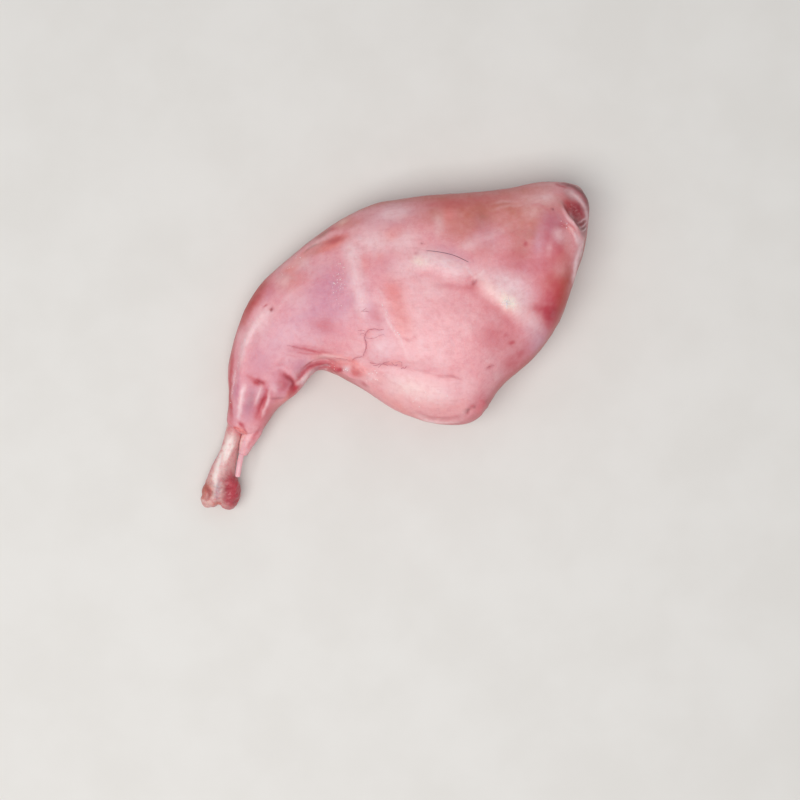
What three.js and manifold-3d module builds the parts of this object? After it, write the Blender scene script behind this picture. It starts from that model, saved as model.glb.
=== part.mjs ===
// A raw hind leg of rabbit, skinned, cut off at the rump and at the ankle. It lies on its inner side, with the
// outer side of the thigh up, on the plane z = 0. Millimetres, +Z up. X runs from the bare ankle bone to the
// rump and Y towards the front of the thigh, so the knee is at the upper left seen from above.
// Three pieces: the meat, the shin bone that runs through the shank to the knee and comes out bare at the
// ankle, and the cut heel tendon that comes out of the meat beside it.
import * as THREE from "three";
import { mergeVertices } from "three/addons/utils/BufferGeometryUtils.js";
import Module from "manifold-3d";

// Driving sizes.
const LEG_LENGTH = 164; // along X, from the ankle bone to the rump
const LEG_WIDTH = 139; // along Y, from the ankle bone to the front of the thigh
const THIGH_HEIGHT = 42; // how thick the thigh is, lying down
const BONE_WIDTH = 7.2; // the shin bone's shaft at its slimmest
const TENDON_WIDTH = 2.4;
const SOCKET_GAP = 0.35; // left between the meat and what runs in it

// Places in the plan are percent of LEG_LENGTH and LEG_WIDTH, counted from the ankle bone's corner.
const PERCENT = 100;
const place = ([x, y]) => [(x / PERCENT - 0.5) * LEG_LENGTH, (y / PERCENT - 0.5) * LEG_WIDTH];
const height = (share) => (share / PERCENT) * THIGH_HEIGHT;

// The meat's sections, from the rump round the knee to the cuff above the ankle. Each spans from the front of
// the leg to its back. rim is the height of its widest line, crown the rise above that and keel the drop below
// it, all in percent of THIGH_HEIGHT.
const MEAT = [
  { name: "rump end", front: [99.8, 95.5], back: [99.2, 77], rim: 34, crown: 38, keel: 34 },
  { name: "rump", front: [97, 98.7], back: [96, 69.5], rim: 34, crown: 47, keel: 43 },
  { name: "hip", front: [88, 99.5], back: [92.5, 57.5], rim: 35, crown: 56, keel: 46 },
  { name: "upper thigh", front: [78.5, 97.5], back: [86.5, 47], rim: 35, crown: 57, keel: 46 },
  { name: "thigh root", front: [70.5, 96.5], back: [77.5, 37.5], rim: 35, crown: 61, keel: 47 },
  { name: "thigh", front: [63.5, 96], back: [71, 27.5], rim: 35, crown: 61, keel: 47 },
  { name: "belly", front: [55, 95], back: [62.5, 26], rim: 35, crown: 60, keel: 46 },
  { name: "lower thigh", front: [43.5, 92.5], back: [52, 29.5], rim: 33, crown: 58, keel: 44 },
  { name: "above knee", front: [32, 85], back: [41.5, 37], rim: 31, crown: 49, keel: 39 },
  { name: "knee", front: [22, 76], back: [35, 41], rim: 29, crown: 40, keel: 34 },
  { name: "below knee", front: [14.5, 67], back: [31, 42.5], rim: 27, crown: 35, keel: 31 },
  { name: "calf top", front: [9.5, 55.5], back: [28.5, 41], rim: 26, crown: 31, keel: 28 },
  { name: "calf", front: [7, 44], back: [25, 36], rim: 25, crown: 27, keel: 25 },
  { name: "low calf", front: [7, 35], back: [19.5, 30.5], rim: 23, crown: 22, keel: 22 },
  { name: "shank", front: [6.5, 29], back: [15.5, 24], rim: 20.5, crown: 15, keel: 15.5 },
  { name: "cuff", front: [6, 25.5], back: [12.5, 21.5], rim: 20, crown: 11, keel: 11 },
];
const MEAT_FULLNESS = 0.85; // below 1 the sections are boxier than an ellipse
const MEAT_ENDS = { rump: 0.1, cuff: 0.05, blunt: 2.6 }; // how far the ends round over, as a share of the length

// The flap of meat at the heel side of the cuff, and the rods that come out there. at is the middle line;
// width and depth are in mm, and up is the middle's height in percent of THIGH_HEIGHT.
const FLAP = [
  { name: "root", at: [14.5, 29.2], width: 7, depth: 7, up: 21 },
  { name: "upper", at: [13.7, 24.9], width: 7.4, depth: 6.4, up: 21.5 },
  { name: "middle", at: [12, 20.7], width: 5.8, depth: 5, up: 22.5 },
  { name: "tip", at: [10.5, 16.7], width: 3.7, depth: 3.8, up: 24.3 },
];
const BONE = [
  { name: "knee end", at: [17.3, 57.1], width: 2 * BONE_WIDTH, depth: 1.65 * BONE_WIDTH, up: 28 },
  { name: "upper shaft", at: [13.7, 47.1], width: 1.4 * BONE_WIDTH, depth: 1.3 * BONE_WIDTH, up: 25 },
  { name: "shaft", at: [11, 37.4], width: BONE_WIDTH, depth: 0.97 * BONE_WIDTH, up: 23 },
  { name: "cuff", at: [8.7, 25.8], width: BONE_WIDTH, depth: 0.92 * BONE_WIDTH, up: 20.5 },
  { name: "bare shaft", at: [7, 17.9], width: 1.05 * BONE_WIDTH, depth: 0.95 * BONE_WIDTH, up: 19 },
  { name: "flare", at: [5.3, 11.9], width: 1.47 * BONE_WIDTH, depth: 1.15 * BONE_WIDTH, up: 17 },
  { name: "knob", at: [4.9, 5.8], width: 2.1 * BONE_WIDTH, depth: 1.55 * BONE_WIDTH, up: 15.5 },
  { name: "joint end", at: [4.4, 0.2], width: 1.9 * BONE_WIDTH, depth: 1.45 * BONE_WIDTH, up: 15 },
];
const TENDON = [
  { name: "root", at: [12.6, 25.5], width: TENDON_WIDTH, depth: 0.65 * TENDON_WIDTH, up: 22.5 },
  { name: "in the flap", at: [10.9, 19.2], width: TENDON_WIDTH, depth: 0.65 * TENDON_WIDTH, up: 24 },
  { name: "bare", at: [9.9, 14.6], width: TENDON_WIDTH, depth: 0.7 * TENDON_WIDTH, up: 25.5 },
  { name: "cut end", at: [9.3, 9.8], width: 0.95 * TENDON_WIDTH, depth: 0.65 * TENDON_WIDTH, up: 26 },
];
const ROD_ENDS = { rump: 0.08, cuff: 0.06, blunt: 3.2 };

// Muscles and pads that swell the meat's upper side: the middle, the two half lengths in mm, the turn of the
// long one from X in degrees, and the rise in mm.
const SWELLS = [
  { name: "round muscle", at: [59, 54.5], long: 32, wide: 21, turn: -10, rise: 1.5 },
  { name: "belly", at: [58, 34], long: 21, wide: 7, turn: -6, rise: 2 },
  { name: "rump", at: [86.5, 81], long: 21, wide: 15, turn: 100, rise: 1.2 },
  { name: "front muscle", at: [31.5, 66.5], long: 19, wide: 13, turn: 35, rise: 1.2 },
  { name: "kneecap", at: [15.5, 63.5], long: 9, wide: 5, turn: 52, rise: 1 },
  { name: "calf", at: [22, 38], long: 6, wide: 4.5, turn: 45, rise: 1.7 },
  { name: "fat behind the knee", at: [38.5, 42], long: 8, wide: 3.2, turn: -15, rise: 1.3 },
  { name: "hollow of the cut", at: [95, 89], long: 8, wide: 3, turn: -58, rise: -4 },
];
// Lines on the upper side: a path in the plan, half its width in mm, and how far it stands up. A furrow has a
// negative rise.
const LINES = [
  { name: "sinew", path: [[71, 69.5], [78.5, 62], [84.5, 55.5]], wide: 4.4, rise: 1.5 },
  { name: "upper sinew", path: [[54, 74.5], [60.5, 73.5], [69, 69]], wide: 4, rise: 1 },
  { name: "seam of the thigh", path: [[38, 78], [39.5, 72.5], [41.5, 65.5], [43, 56.5]], wide: 2.6, rise: 0.8 },
  { name: "shin", path: [[13, 54.5], [10.5, 39.5], [9, 27]], wide: 1.8, rise: 0.9 },
  { name: "calf strand", path: [[19.5, 37], [17.5, 31], [15, 26]], wide: 1.8, rise: 1 },
  { name: "heel strand", path: [[28.5, 42], [25, 38], [21.5, 34]], wide: 1.8, rise: 1 },
  { name: "furrow under the sinew", path: [[70.5, 66], [76, 60.5], [81.5, 54]], wide: 2.8, rise: -0.6 },
  { name: "flank crease", path: [[37.5, 45], [46.5, 44], [56.5, 42.5], [66.5, 40]], wide: 2, rise: -0.7 },
  { name: "knee fold", path: [[22, 48], [29.5, 46], [35, 44.5], [39.5, 44]], wide: 2, rise: -1 },
  { name: "hollow of the knee", path: [[24.5, 39], [27.5, 42], [31.5, 44], [35, 43.5]], wide: 2.4, rise: -1.6 },
  { name: "calf crease", path: [[18, 42], [21, 43], [23, 40.5], [23.5, 36.5]], wide: 1.8, rise: -1 },
  { name: "shank furrow", path: [[17, 37], [17, 34], [15.5, 29]], wide: 1.8, rise: -1.1 },
  { name: "rim of the cut", path: [[93.5, 98], [97, 94], [98.5, 89.5], [98, 83]], wide: 1.5, rise: 1 },
  { name: "lip of the cut", path: [[91.5, 91.5], [93.5, 88], [95, 85], [97, 82]], wide: 1.5, rise: 1.1 },
  { name: "front fold", path: [[37.5, 82], [32, 81.5], [23.5, 73]], wide: 2.2, rise: -0.7 },
];
// Lobes of the ankle joint, and the groove between them.
const KNOB_SWELLS = [
  { name: "outer lobe", at: [7.6, 5], long: 4, wide: 2.6, turn: 70, rise: 1.4 },
  { name: "inner lobe", at: [1.3, 3.2], long: 4.5, wide: 2.4, turn: 70, rise: 1.3 },
  { name: "joint groove", at: [4.3, 1], long: 6, wide: 1.5, turn: 72, rise: -1.4 },
];

// Triangle counts.
const MEAT_MESH = { rows: 84, over: 36, under: 16 };
const FLAP_MESH = { rows: 12, over: 8, under: 8 };
const BONE_MESH = { rows: 44, over: 12, under: 12 };
const TENDON_MESH = { rows: 16, over: 6, under: 6 };

const curveThrough = (points) =>
  new THREE.CatmullRomCurve3(points.map((p) => new THREE.Vector3(...p)), false, "catmullrom", 0.5);

// A section list becomes three curves: its front edge, its back edge, and (crown, keel).
function edgesOfSections(sections) {
  return {
    front: curveThrough(sections.map((s) => [...place(s.front), height(s.rim)])),
    back: curveThrough(sections.map((s) => [...place(s.back), height(s.rim)])),
    swell: curveThrough(sections.map((s) => [height(s.crown), height(s.keel), 0])),
  };
}

// A rod's edges lie half its width to either side of its middle line. grow widens it all round, and past its
// ends.
function edgesOfRod(stations, grow = 0) {
  const middle = curveThrough(stations.map((s) => [...place(s.at), height(s.up)]));
  const last = stations.length - 1;
  const front = [];
  const back = [];
  stations.forEach((station, i) => {
    const along = middle.getTangent(i / last).setZ(0).normalize();
    const across = new THREE.Vector3(along.y, -along.x, 0);
    const centre = middle.getPoint(i / last);
    if (i === 0) centre.addScaledVector(along, -grow);
    if (i === last) centre.addScaledVector(along, grow);
    const half = station.width / 2 + grow;
    front.push(centre.clone().addScaledVector(across, half).toArray());
    back.push(centre.clone().addScaledVector(across, -half).toArray());
  });
  return {
    front: curveThrough(front),
    back: curveThrough(back),
    swell: curveThrough(stations.map((s) => [s.depth / 2 + grow, s.depth / 2 + grow, 0])),
  };
}

// Row places from 0 to 1, closer together where an end rounds over.
function rowPlaces(rows, ends) {
  const endRows = Math.round(rows / 8);
  const places = [];
  for (let i = 0; i < endRows; i++) {
    places.push(ends.rump * (1 - Math.cos(((i / endRows) * Math.PI) / 2)));
  }
  const middleRows = rows - 2 * endRows;
  for (let i = 0; i <= middleRows; i++) {
    places.push(ends.rump + (1 - ends.rump - ends.cuff) * (i / middleRows));
  }
  for (let i = 1; i <= endRows; i++) {
    places.push(1 - ends.cuff * (1 - Math.sin(((i / endRows) * Math.PI) / 2)));
  }
  return places;
}

// A share from 0 at the very end to 1 where the rounding starts, along a superellipse.
function endShare(s, ends) {
  const fromEnd = Math.min(s / ends.rump, (1 - s) / ends.cuff, 1);
  return (1 - (1 - fromEnd) ** ends.blunt) ** (1 / ends.blunt);
}

// The closed surface that a section sweeps from one pole to the other. At the angle a the section is at
// cos(a) of its half width, and sin(a) to the power of fullness of its crown, or of its keel underneath.
// Nothing goes below the floor.
function loft(edges, mesh, ends, fullness, floor = 0) {
  const places = rowPlaces(mesh.rows, ends);
  const around = mesh.over + mesh.under;
  const positions = [];
  const indices = [];
  const pointAt = (s, angle) => {
    const front = edges.front.getPoint(s);
    const back = edges.back.getPoint(s);
    const swell = edges.swell.getPoint(s);
    const share = endShare(s, ends);
    const point = front.clone().add(back).multiplyScalar(0.5);
    point.addScaledVector(back.sub(front), 0.5 * share * Math.cos(angle));
    const lift = Math.abs(Math.sin(angle)) ** fullness * share;
    point.z += Math.sin(angle) > 0 ? swell.x * lift : -swell.y * lift;
    point.z = Math.max(point.z, floor);
    return point.toArray();
  };
  const ring = (i) => 1 + (i - 1) * around;
  positions.push(...pointAt(0, 0));
  for (let i = 1; i < places.length - 1; i++) {
    for (let j = 0; j < around; j++) {
      const over = j < mesh.over;
      const angle = over ? (j / mesh.over) * Math.PI : Math.PI * (1 + (j - mesh.over) / mesh.under);
      positions.push(...pointAt(places[i], angle));
    }
  }
  positions.push(...pointAt(1, 0));
  const lastRing = ring(places.length - 2);
  const pole = positions.length / 3 - 1;
  for (let j = 0; j < around; j++) {
    const next = (j + 1) % around;
    indices.push(0, 1 + next, 1 + j);
    indices.push(pole, lastRing + j, lastRing + next);
    for (let i = 1; i < places.length - 2; i++) {
      const a = ring(i);
      const b = ring(i + 1);
      indices.push(a + j, a + next, b + next, a + j, b + next, b + j);
    }
  }
  const geometry = new THREE.BufferGeometry();
  geometry.setAttribute("position", new THREE.Float32BufferAttribute(positions, 3));
  geometry.setIndex(indices);
  return geometry;
}

// How much an ellipse-shaped swell lifts the point (x, y).
function swellAt(swell, x, y) {
  const [cx, cy] = place(swell.at);
  const turn = THREE.MathUtils.degToRad(swell.turn);
  const along = (x - cx) * Math.cos(turn) + (y - cy) * Math.sin(turn);
  const across = (y - cy) * Math.cos(turn) - (x - cx) * Math.sin(turn);
  return swell.rise * Math.exp(-((along / swell.long) ** 2) - (across / swell.wide) ** 2);
}

// How much a line lifts the point (x, y): most on its path, fading over its half width and towards its ends.
const LINE_STEPS = 24;
function lineLift(line) {
  const path = curveThrough(line.path.map((p) => [...place(p), 0])).getPoints(LINE_STEPS);
  return (x, y) => {
    let nearest = Infinity;
    let where = 0;
    path.forEach((p, i) => {
      const distance = Math.hypot(x - p.x, y - p.y);
      if (distance < nearest) {
        nearest = distance;
        where = i / LINE_STEPS;
      }
    });
    return line.rise * Math.sqrt(Math.sin(Math.PI * where)) * Math.exp(-((nearest / line.wide) ** 2));
  };
}

// Moves every vertex along its normal by lift(x, y, how far the surface there faces up).
function raise(geometry, lift) {
  geometry.computeVertexNormals();
  const position = geometry.getAttribute("position");
  const normal = geometry.getAttribute("normal");
  for (let i = 0; i < position.count; i++) {
    const amount = lift(position.getX(i), position.getY(i), normal.getZ(i));
    position.setXYZ(
      i,
      position.getX(i) + amount * normal.getX(i),
      position.getY(i) + amount * normal.getY(i),
      Math.max(position.getZ(i) + amount * normal.getZ(i), 0),
    );
  }
  return geometry;
}

function meatBody() {
  const lines = LINES.map(lineLift);
  const lift = (x, y, up) => {
    const upper = THREE.MathUtils.smoothstep(up, -0.05, 0.35);
    let total = 0;
    SWELLS.forEach((swell) => (total += swellAt(swell, x, y)));
    lines.forEach((line) => (total += line(x, y)));
    return total * upper;
  };
  return raise(loft(edgesOfSections(MEAT), MEAT_MESH, MEAT_ENDS, MEAT_FULLNESS), lift);
}

function shinBone(grow = 0) {
  const bone = loft(edgesOfRod(BONE, grow), BONE_MESH, ROD_ENDS, 1);
  return raise(bone, (x, y) => KNOB_SWELLS.reduce((total, swell) => total + swellAt(swell, x, y), 0));
}

const heelTendon = (grow = 0) => loft(edgesOfRod(TENDON, grow), TENDON_MESH, ROD_ENDS, 1);

// Booleans.
const solids = await Module();
solids.setup();

function toSolid(geometry) {
  const bare = geometry.clone();
  bare.deleteAttribute("normal");
  const merged = mergeVertices(bare, 1e-4);
  return new solids.Manifold(
    new solids.Mesh({
      numProp: 3,
      vertProperties: merged.getAttribute("position").array,
      triVerts: new Uint32Array(merged.index.array),
    }),
  );
}

function toGeometry(solid) {
  const mesh = solid.getMesh();
  const geometry = new THREE.BufferGeometry();
  geometry.setAttribute("position", new THREE.Float32BufferAttribute(mesh.vertProperties, 3));
  geometry.setIndex(new THREE.BufferAttribute(mesh.triVerts, 1));
  return geometry;
}

// The meat with its flap joined on, hollowed where the bone and the tendon run in it.
function meat() {
  const flap = loft(edgesOfRod(FLAP), FLAP_MESH, ROD_ENDS, 1);
  const whole = toSolid(meatBody()).add(toSolid(flap));
  const sockets = toSolid(shinBone(SOCKET_GAP)).add(toSolid(heelTendon(SOCKET_GAP)));
  return toGeometry(whole.subtract(sockets));
}

const material = (color, roughness) => new THREE.MeshStandardMaterial({ color, roughness, metalness: 0 });
const RAW_MEAT = material(0xdf9aa2, 0.35);
const BARE_BONE = material(0xe6c3bf, 0.4);
const SINEW = material(0xf0ccc8, 0.35);

const leg = new THREE.Group();
function add(name, geometry, finish) {
  const mesh = new THREE.Mesh(geometry, finish);
  mesh.name = name;
  leg.add(mesh);
}
add("leg_meat", meat(), RAW_MEAT);
add("shin_bone", shinBone(), BARE_BONE);
add("heel_tendon", heelTendon(), SINEW);

// The origin is under the middle of the leg, on the plane that it lies on.
const box = new THREE.Box3().setFromObject(leg);
const centre = box.getCenter(new THREE.Vector3());
leg.position.set(-centre.x, -centre.y, -box.min.z);

export default leg;
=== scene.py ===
"""A raw hind leg of rabbit, dressed around its solids: the meat in its silverskin with the flap at the
heel, the bare shin bone with its joint end, the cut heel tendon, and the cuff's torn lip, the hair, the
blood lines and the beads of wet that lie on the meat."""

import math

import bpy
import numpy as np
from bpy.props import FloatProperty, FloatVectorProperty, IntProperty, PointerProperty
from mathutils import Matrix
from mathutils.bvhtree import BVHTree


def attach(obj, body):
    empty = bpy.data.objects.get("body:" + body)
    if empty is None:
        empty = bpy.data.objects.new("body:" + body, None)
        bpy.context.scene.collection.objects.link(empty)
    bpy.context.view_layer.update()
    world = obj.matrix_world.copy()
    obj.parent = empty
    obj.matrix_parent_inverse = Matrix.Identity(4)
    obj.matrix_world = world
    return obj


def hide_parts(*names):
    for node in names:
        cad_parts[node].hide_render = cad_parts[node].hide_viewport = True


bl_info = {
    "name": "Raw rabbit leg",
    "version": (1, 0, 0),
    "blender": (4, 5, 0),
    "location": "View3D > Sidebar > Rabbit leg",
    "description": "Builds a raw rabbit leg's surfaces and materials around its solids",
    "category": "Mesh",
}

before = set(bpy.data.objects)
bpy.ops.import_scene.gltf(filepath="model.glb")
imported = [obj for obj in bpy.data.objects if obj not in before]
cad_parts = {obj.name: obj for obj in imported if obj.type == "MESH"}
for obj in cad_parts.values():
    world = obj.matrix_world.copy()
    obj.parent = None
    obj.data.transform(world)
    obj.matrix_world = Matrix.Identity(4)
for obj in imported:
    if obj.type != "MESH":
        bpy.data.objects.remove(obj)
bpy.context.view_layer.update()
MM = 0.001
PERCENT = 100
# Noise adds up so many octaves. Its table of random values has that many rows and columns, and repeats.
OCTAVES = 3
LATTICE = 64
# Rays that look for the meat start this high, in metres.
SKY = 1.0

# Places in the plan are percent of the leg's length and width, counted from the ankle bone's corner, and
# heights are percent of the thigh's height, as in the solids.

# The meat's sections, from the rump round the knee to the cuff: front edge x and y, back edge x and y,
# then the height of the widest line, the rise of the crown above it and the drop of the keel below it.
MEAT_SECTIONS = (
    (99.8, 95.5, 99.2, 77, 34, 38, 34),
    (97, 98.7, 96, 69.5, 34, 47, 43),
    (88, 99.5, 92.5, 57.5, 35, 56, 46),
    (78.5, 97.5, 86.5, 47, 35, 57, 46),
    (70.5, 96.5, 77.5, 37.5, 35, 61, 47),
    (63.5, 96, 71, 27.5, 35, 61, 47),
    (55, 95, 62.5, 26, 35, 60, 46),
    (43.5, 92.5, 52, 29.5, 33, 58, 44),
    (32, 85, 41.5, 37, 31, 49, 39),
    (22, 76, 35, 41, 29, 40, 34),
    (14.5, 67, 31, 42.5, 27, 35, 31),
    (9.5, 55.5, 28.5, 41, 26, 31, 28),
    (7, 44, 25, 36, 25, 27, 25),
    (7, 35, 19.5, 30.5, 23, 22, 22),
    (6.5, 29, 15.5, 24, 20.5, 15, 15.5),
    (6, 25.5, 12.5, 21.5, 20, 11, 11),
)
# How far the closing stretches reach in from the first and the last row, as shares of the length, and how
# blunt they are. Then how full the sections are: 1 is an ellipse, and less is fuller.
MEAT_ENDS = (0.1, 0.05, 2.6)
MEAT_FULLNESS = 0.85

# Rods: the middle line's x and y, the width and depth in mm, and the middle's height.
FLAP_STATIONS = (
    (14.5, 29.2, 7, 7, 22),
    (13.5, 24.9, 8, 6.4, 22.5),
    (11.8, 20.7, 6.4, 5, 22.5),
    (10.4, 16.7, 3.9, 3.8, 24.3),
)
BONE_STATIONS = (
    (17.3, 57.1, 14.4, 11.88, 28),
    (13.7, 47.1, 10.08, 9.36, 25),
    (11, 37.4, 7.2, 6.98, 23),
    (8.7, 25.8, 7.2, 6.62, 20.5),
    (7, 17.9, 7.56, 6.84, 19),
    (5.3, 11.9, 10.58, 8.28, 17),
    (4.9, 5.8, 15.12, 11.16, 15.5),
    (4.4, 0.2, 13.68, 10.44, 15),
)
TENDON_STATIONS = (
    (12.6, 25.5, 2.4, 1.56, 22.5),
    (10.9, 19.2, 2.4, 1.56, 24),
    (9.9, 14.6, 2.4, 1.68, 25.5),
    (9.3, 9.8, 2.28, 1.56, 26),
)
ROD_ENDS = (0.08, 0.06, 3.2)
# Rings along each rod, then points over its upper and its lower side.
FLAP_GRID = (120, 32, 32)
BONE_GRID = (260, 48, 48)
TENDON_GRID = (90, 16, 16)
TENDON_FULLNESS = 0.7

# Swells of the meat's upper side: x and y of the middle, two half lengths in mm, the long one's turn from
# X in degrees, and the rise in mm. The solid has the first ones too, up to a millimetre deeper.
MEAT_SWELLS = (
    (59, 54.5, 32, 21, -10, 1.5),
    (58, 34, 21, 7, -6, 2),
    (86.5, 81, 21, 15, 100, 1.2),
    (31.5, 66.5, 19, 13, 35, 1.2),
    (15.5, 63.5, 9, 5, 52, 1),
    (22, 38, 6, 4.5, 45, 1.7),
    (38.5, 42, 8, 3.2, -15, 1.3),
    (95, 89, 6.5, 2.6, -58, -3.4),
    (69.8, 68, 1.3, 0.7, 60, -0.6),
    (21.4, 37.7, 3.6, 3, 40, 0.6),
    (36.1, 86.9, 6, 2, 35, 0.4),
    (21.7, 69.3, 4, 2.6, 30, 0.3),
    (35.4, 42.7, 2, 1.2, 0, 0.4),
    (29.7, 44.3, 1.2, 0.6, 15, 0.35),
    (32.5, 44.3, 1.4, 0.7, 0, 0.4),
    (34.1, 43.5, 1.2, 0.8, -20, 0.3),
    (37.7, 43, 1.7, 1.3, 20, 0.8),
    (40.5, 43.6, 1.5, 1, -20, 0.6),
    (39.4, 41.2, 1.6, 0.9, -20, 0.5),
    (42.8, 41.8, 1.8, 1, -30, 0.55),
    (43.3, 38.8, 1.3, 0.8, -30, 0.5),
    (45.3, 40, 1.8, 1, -30, 0.4),
    (68.7, 30.2, 1.6, 1, 60, -0.7),
    (71.9, 31.9, 3, 1.6, 70, 0.8),
    (32.9, 55.5, 5, 2, 0, 0.25),
)
# Long paths, and those that relief and tints, or two tints, both follow.
FLAP_EDGE = ((11.3, 23.1), (10.3, 20.9), (9.9, 18.5))
SHANK_STRAND = ((18.4, 37.9), (17.8, 35.2), (17.5, 32.8), (16.4, 29.8), (15.8, 28))
CALF_CREASE = ((17.7, 34), (19.6, 33.9), (21.7, 34.3))
SHIN_RIDGE = ((9.6, 43.4), (9.1, 40.7), (8.5, 37.7), (8.1, 34.9), (8.7, 31.9))
KNEE_SEAM = ((17.9, 58.2), (20, 60), (22, 62.9), (24.2, 65.4), (28, 68))
THIGH_STRAND = ((45, 67.1), (47.2, 63.9), (47.9, 58), (49.2, 55), (51.7, 50.8), (52.9, 47.2), (53.4, 43.9))
FRONT_FILM = ((67.4, 78.3), (69.9, 80.7), (73.2, 81.1), (76.1, 82.8), (79.9, 85.7))
BELLY_RIM = (
    (64.2, 26.2),
    (68.3, 26.8),
    (71.5, 29.2),
    (74.1, 32.8),
    (77.2, 37.3),
    (81.1, 42.2),
    (87.1, 48.4),
)
BELLY_NICK = ((71.2, 34), (73, 32.5), (74.1, 30.4))
CUT_LIP = ((92.1, 90.8), (92.8, 87.7), (94, 86.2), (95, 85), (96.1, 83.3))
CUT_SHRED = ((93.9, 89.1), (95, 85.3))
RUMP_FOLD = ((93.6, 84.5), (94.9, 82.2), (95.8, 79.8))
# Lines on the meat's upper side: half width and rise in mm, then the path's x and y. A furrow's rise is
# negative. The solid has the ones above the note too, some of them up to half a millimetre deeper.
MEAT_LINES = (
    (4.8, 1.2, ((71, 69.5), (78.5, 62), (84.5, 55.5))),
    (4, 1, ((54, 74.5), (60.5, 73.5), (69, 69))),
    (2.8, 0.6, ((38, 78), (39.5, 72.5), (41.5, 65.5), (43, 56.5))),
    (1.8, 0.9, ((13, 54.5), (10.5, 39.5), (9, 27))),
    (1.8, 0.6, ((19.5, 37), (17.5, 31), (15, 26))),
    (1.8, 0.7, ((28.5, 42), (25, 38), (21.5, 34))),
    (2.8, -0.35, ((70.5, 66), (76, 60.5), (81.5, 54))),
    (2, -0.7, ((37.5, 45), (46.5, 44), (56.5, 42.5), (66.5, 40))),
    (2, -0.6, ((22, 48), (29.5, 46), (35, 44.5), (39.5, 44))),
    (2.4, -1, ((24.5, 39), (27.5, 42), (31.5, 44), (35, 43.5))),
    (1.8, -0.6, ((18, 42), (21, 43), (23, 40.5), (23.5, 36.5))),
    (1.8, -0.5, ((17, 37), (17, 34), (15.5, 29))),
    (1.5, 1, ((93.5, 98), (97, 94), (98.5, 89.5), (98, 83))),
    (1.5, 0.8, ((91.5, 91.5), (93.5, 88), (95, 85), (97, 82))),
    (1, 0.5, ((91.3, 99), (93.9, 97.9), (96.2, 96.5), (97.7, 94.2), (98.6, 91.3), (98.9, 88.7))),
    (2.2, -0.5, ((37.5, 82), (32, 81.5), (23.5, 73))),
    # Finer than the solid's.
    (0.9, -0.25, ((43, 46), (44.3, 44.4), (45.8, 43.9), (50.2, 43.5), (52.9, 43))),
    (1.4, 0.3, ((52.9, 43.5), (56.5, 42.9), (60.1, 41.9))),
    (0.8, -0.14, ((59.4, 40.8), (63.4, 40.3), (67, 39.3))),
    (0.6, -0.2, ((39.3, 45.2), (40.3, 45.9), (42, 46.1), (42.8, 47.7), (43.1, 49.5), (42.6, 52.1))),
    (0.6, -0.2, ((42.6, 52.1), (43.4, 53.9), (44.9, 54.2), (47.4, 54))),
    (0.6, -0.15, ((22.6, 49.8), (25.8, 48.8), (29.6, 48.1), (32.7, 47.7), (34.7, 47.1))),
    (0.6, -0.1, ((23.2, 47.8), (25.7, 47.3), (29.1, 47.3), (32.7, 47.4))),
    (1.2, 0.35, ((29, 46.5), (32.1, 46.9), (35.7, 46.2), (39.3, 45), (41.8, 43.3))),
    (1, -0.45, ((25, 39.5), (27.2, 42.6), (29.3, 44.2), (32, 44.6), (34.9, 44.2), (36.7, 42.7))),
    (0.9, 0.3, ((26.5, 39.8), (28.5, 42.2), (30.9, 43.6))),
    (1, -0.4, ((21.4, 41.3), (23.3, 40.1), (24.1, 38.6), (23.8, 37.1), (22.7, 34.6))),
    (0.6, -0.25, CALF_CREASE),
    (1.1, 0.5, ((11.8, 37.6), (11.1, 35.2), (10.3, 31), (9.8, 28))),
    (0.8, 0.35, ((16.2, 37.6), (15.2, 34.9), (14.3, 31.6))),
    (0.9, 0.45, SHANK_STRAND),
    (0.9, -0.4, ((16.9, 36.8), (17.1, 34.9), (16, 31.8), (14.8, 28.6))),
    (0.9, -0.35, ((13.9, 39.7), (15.2, 38.8), (16.7, 38.1))),
    (0.6, 0.3, SHIN_RIDGE),
    (0.9, -0.2, ((9.6, 26.8), (10.8, 25.2), (11.8, 23.5))),
    (1, 0.5, ((8.5, 24.9), (10, 24.1), (11.6, 23.2))),
    (0.8, -0.22, ((26.1, 76.7), (28.7, 79.3), (31, 80.7), (33.4, 81.1))),
    (0.9, 0.2, ((27.2, 78.5), (30.5, 80.7), (33.1, 81.8))),
    (0.8, -0.25, ((29.9, 82.8), (32, 84.3), (34.3, 85.1))),
    (0.8, 0.12, KNEE_SEAM),
    (1.2, 0.25, ((18.1, 61.2), (14.6, 56.3), (11.6, 49.8), (10.9, 45.5))),
    (0.9, -0.25, ((55, 30.2), (58.5, 28.4), (62.6, 27.8), (67.7, 28.6))),
    (0.9, 0.35, ((55.5, 29.1), (58.5, 27.2), (62.6, 26.5), (67.2, 27.1))),
    (0.7, 0.25, THIGH_STRAND),
    (0.8, 0.45, ((97.6, 81.5), (96.4, 77.7), (95.7, 74.6), (95.3, 71.1), (94.8, 66.8))),
    (0.7, 0.45, CUT_LIP),
    (0.5, 0.35, CUT_SHRED),
    (0.7, 0.3, RUMP_FOLD),
    (0.6, 0.4, BELLY_NICK),
    (0.6, 0.4, ((69.9, 31.9), (71.5, 30.4), (72, 28.6))),
    (1, 0.1, FRONT_FILM),
)
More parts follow.
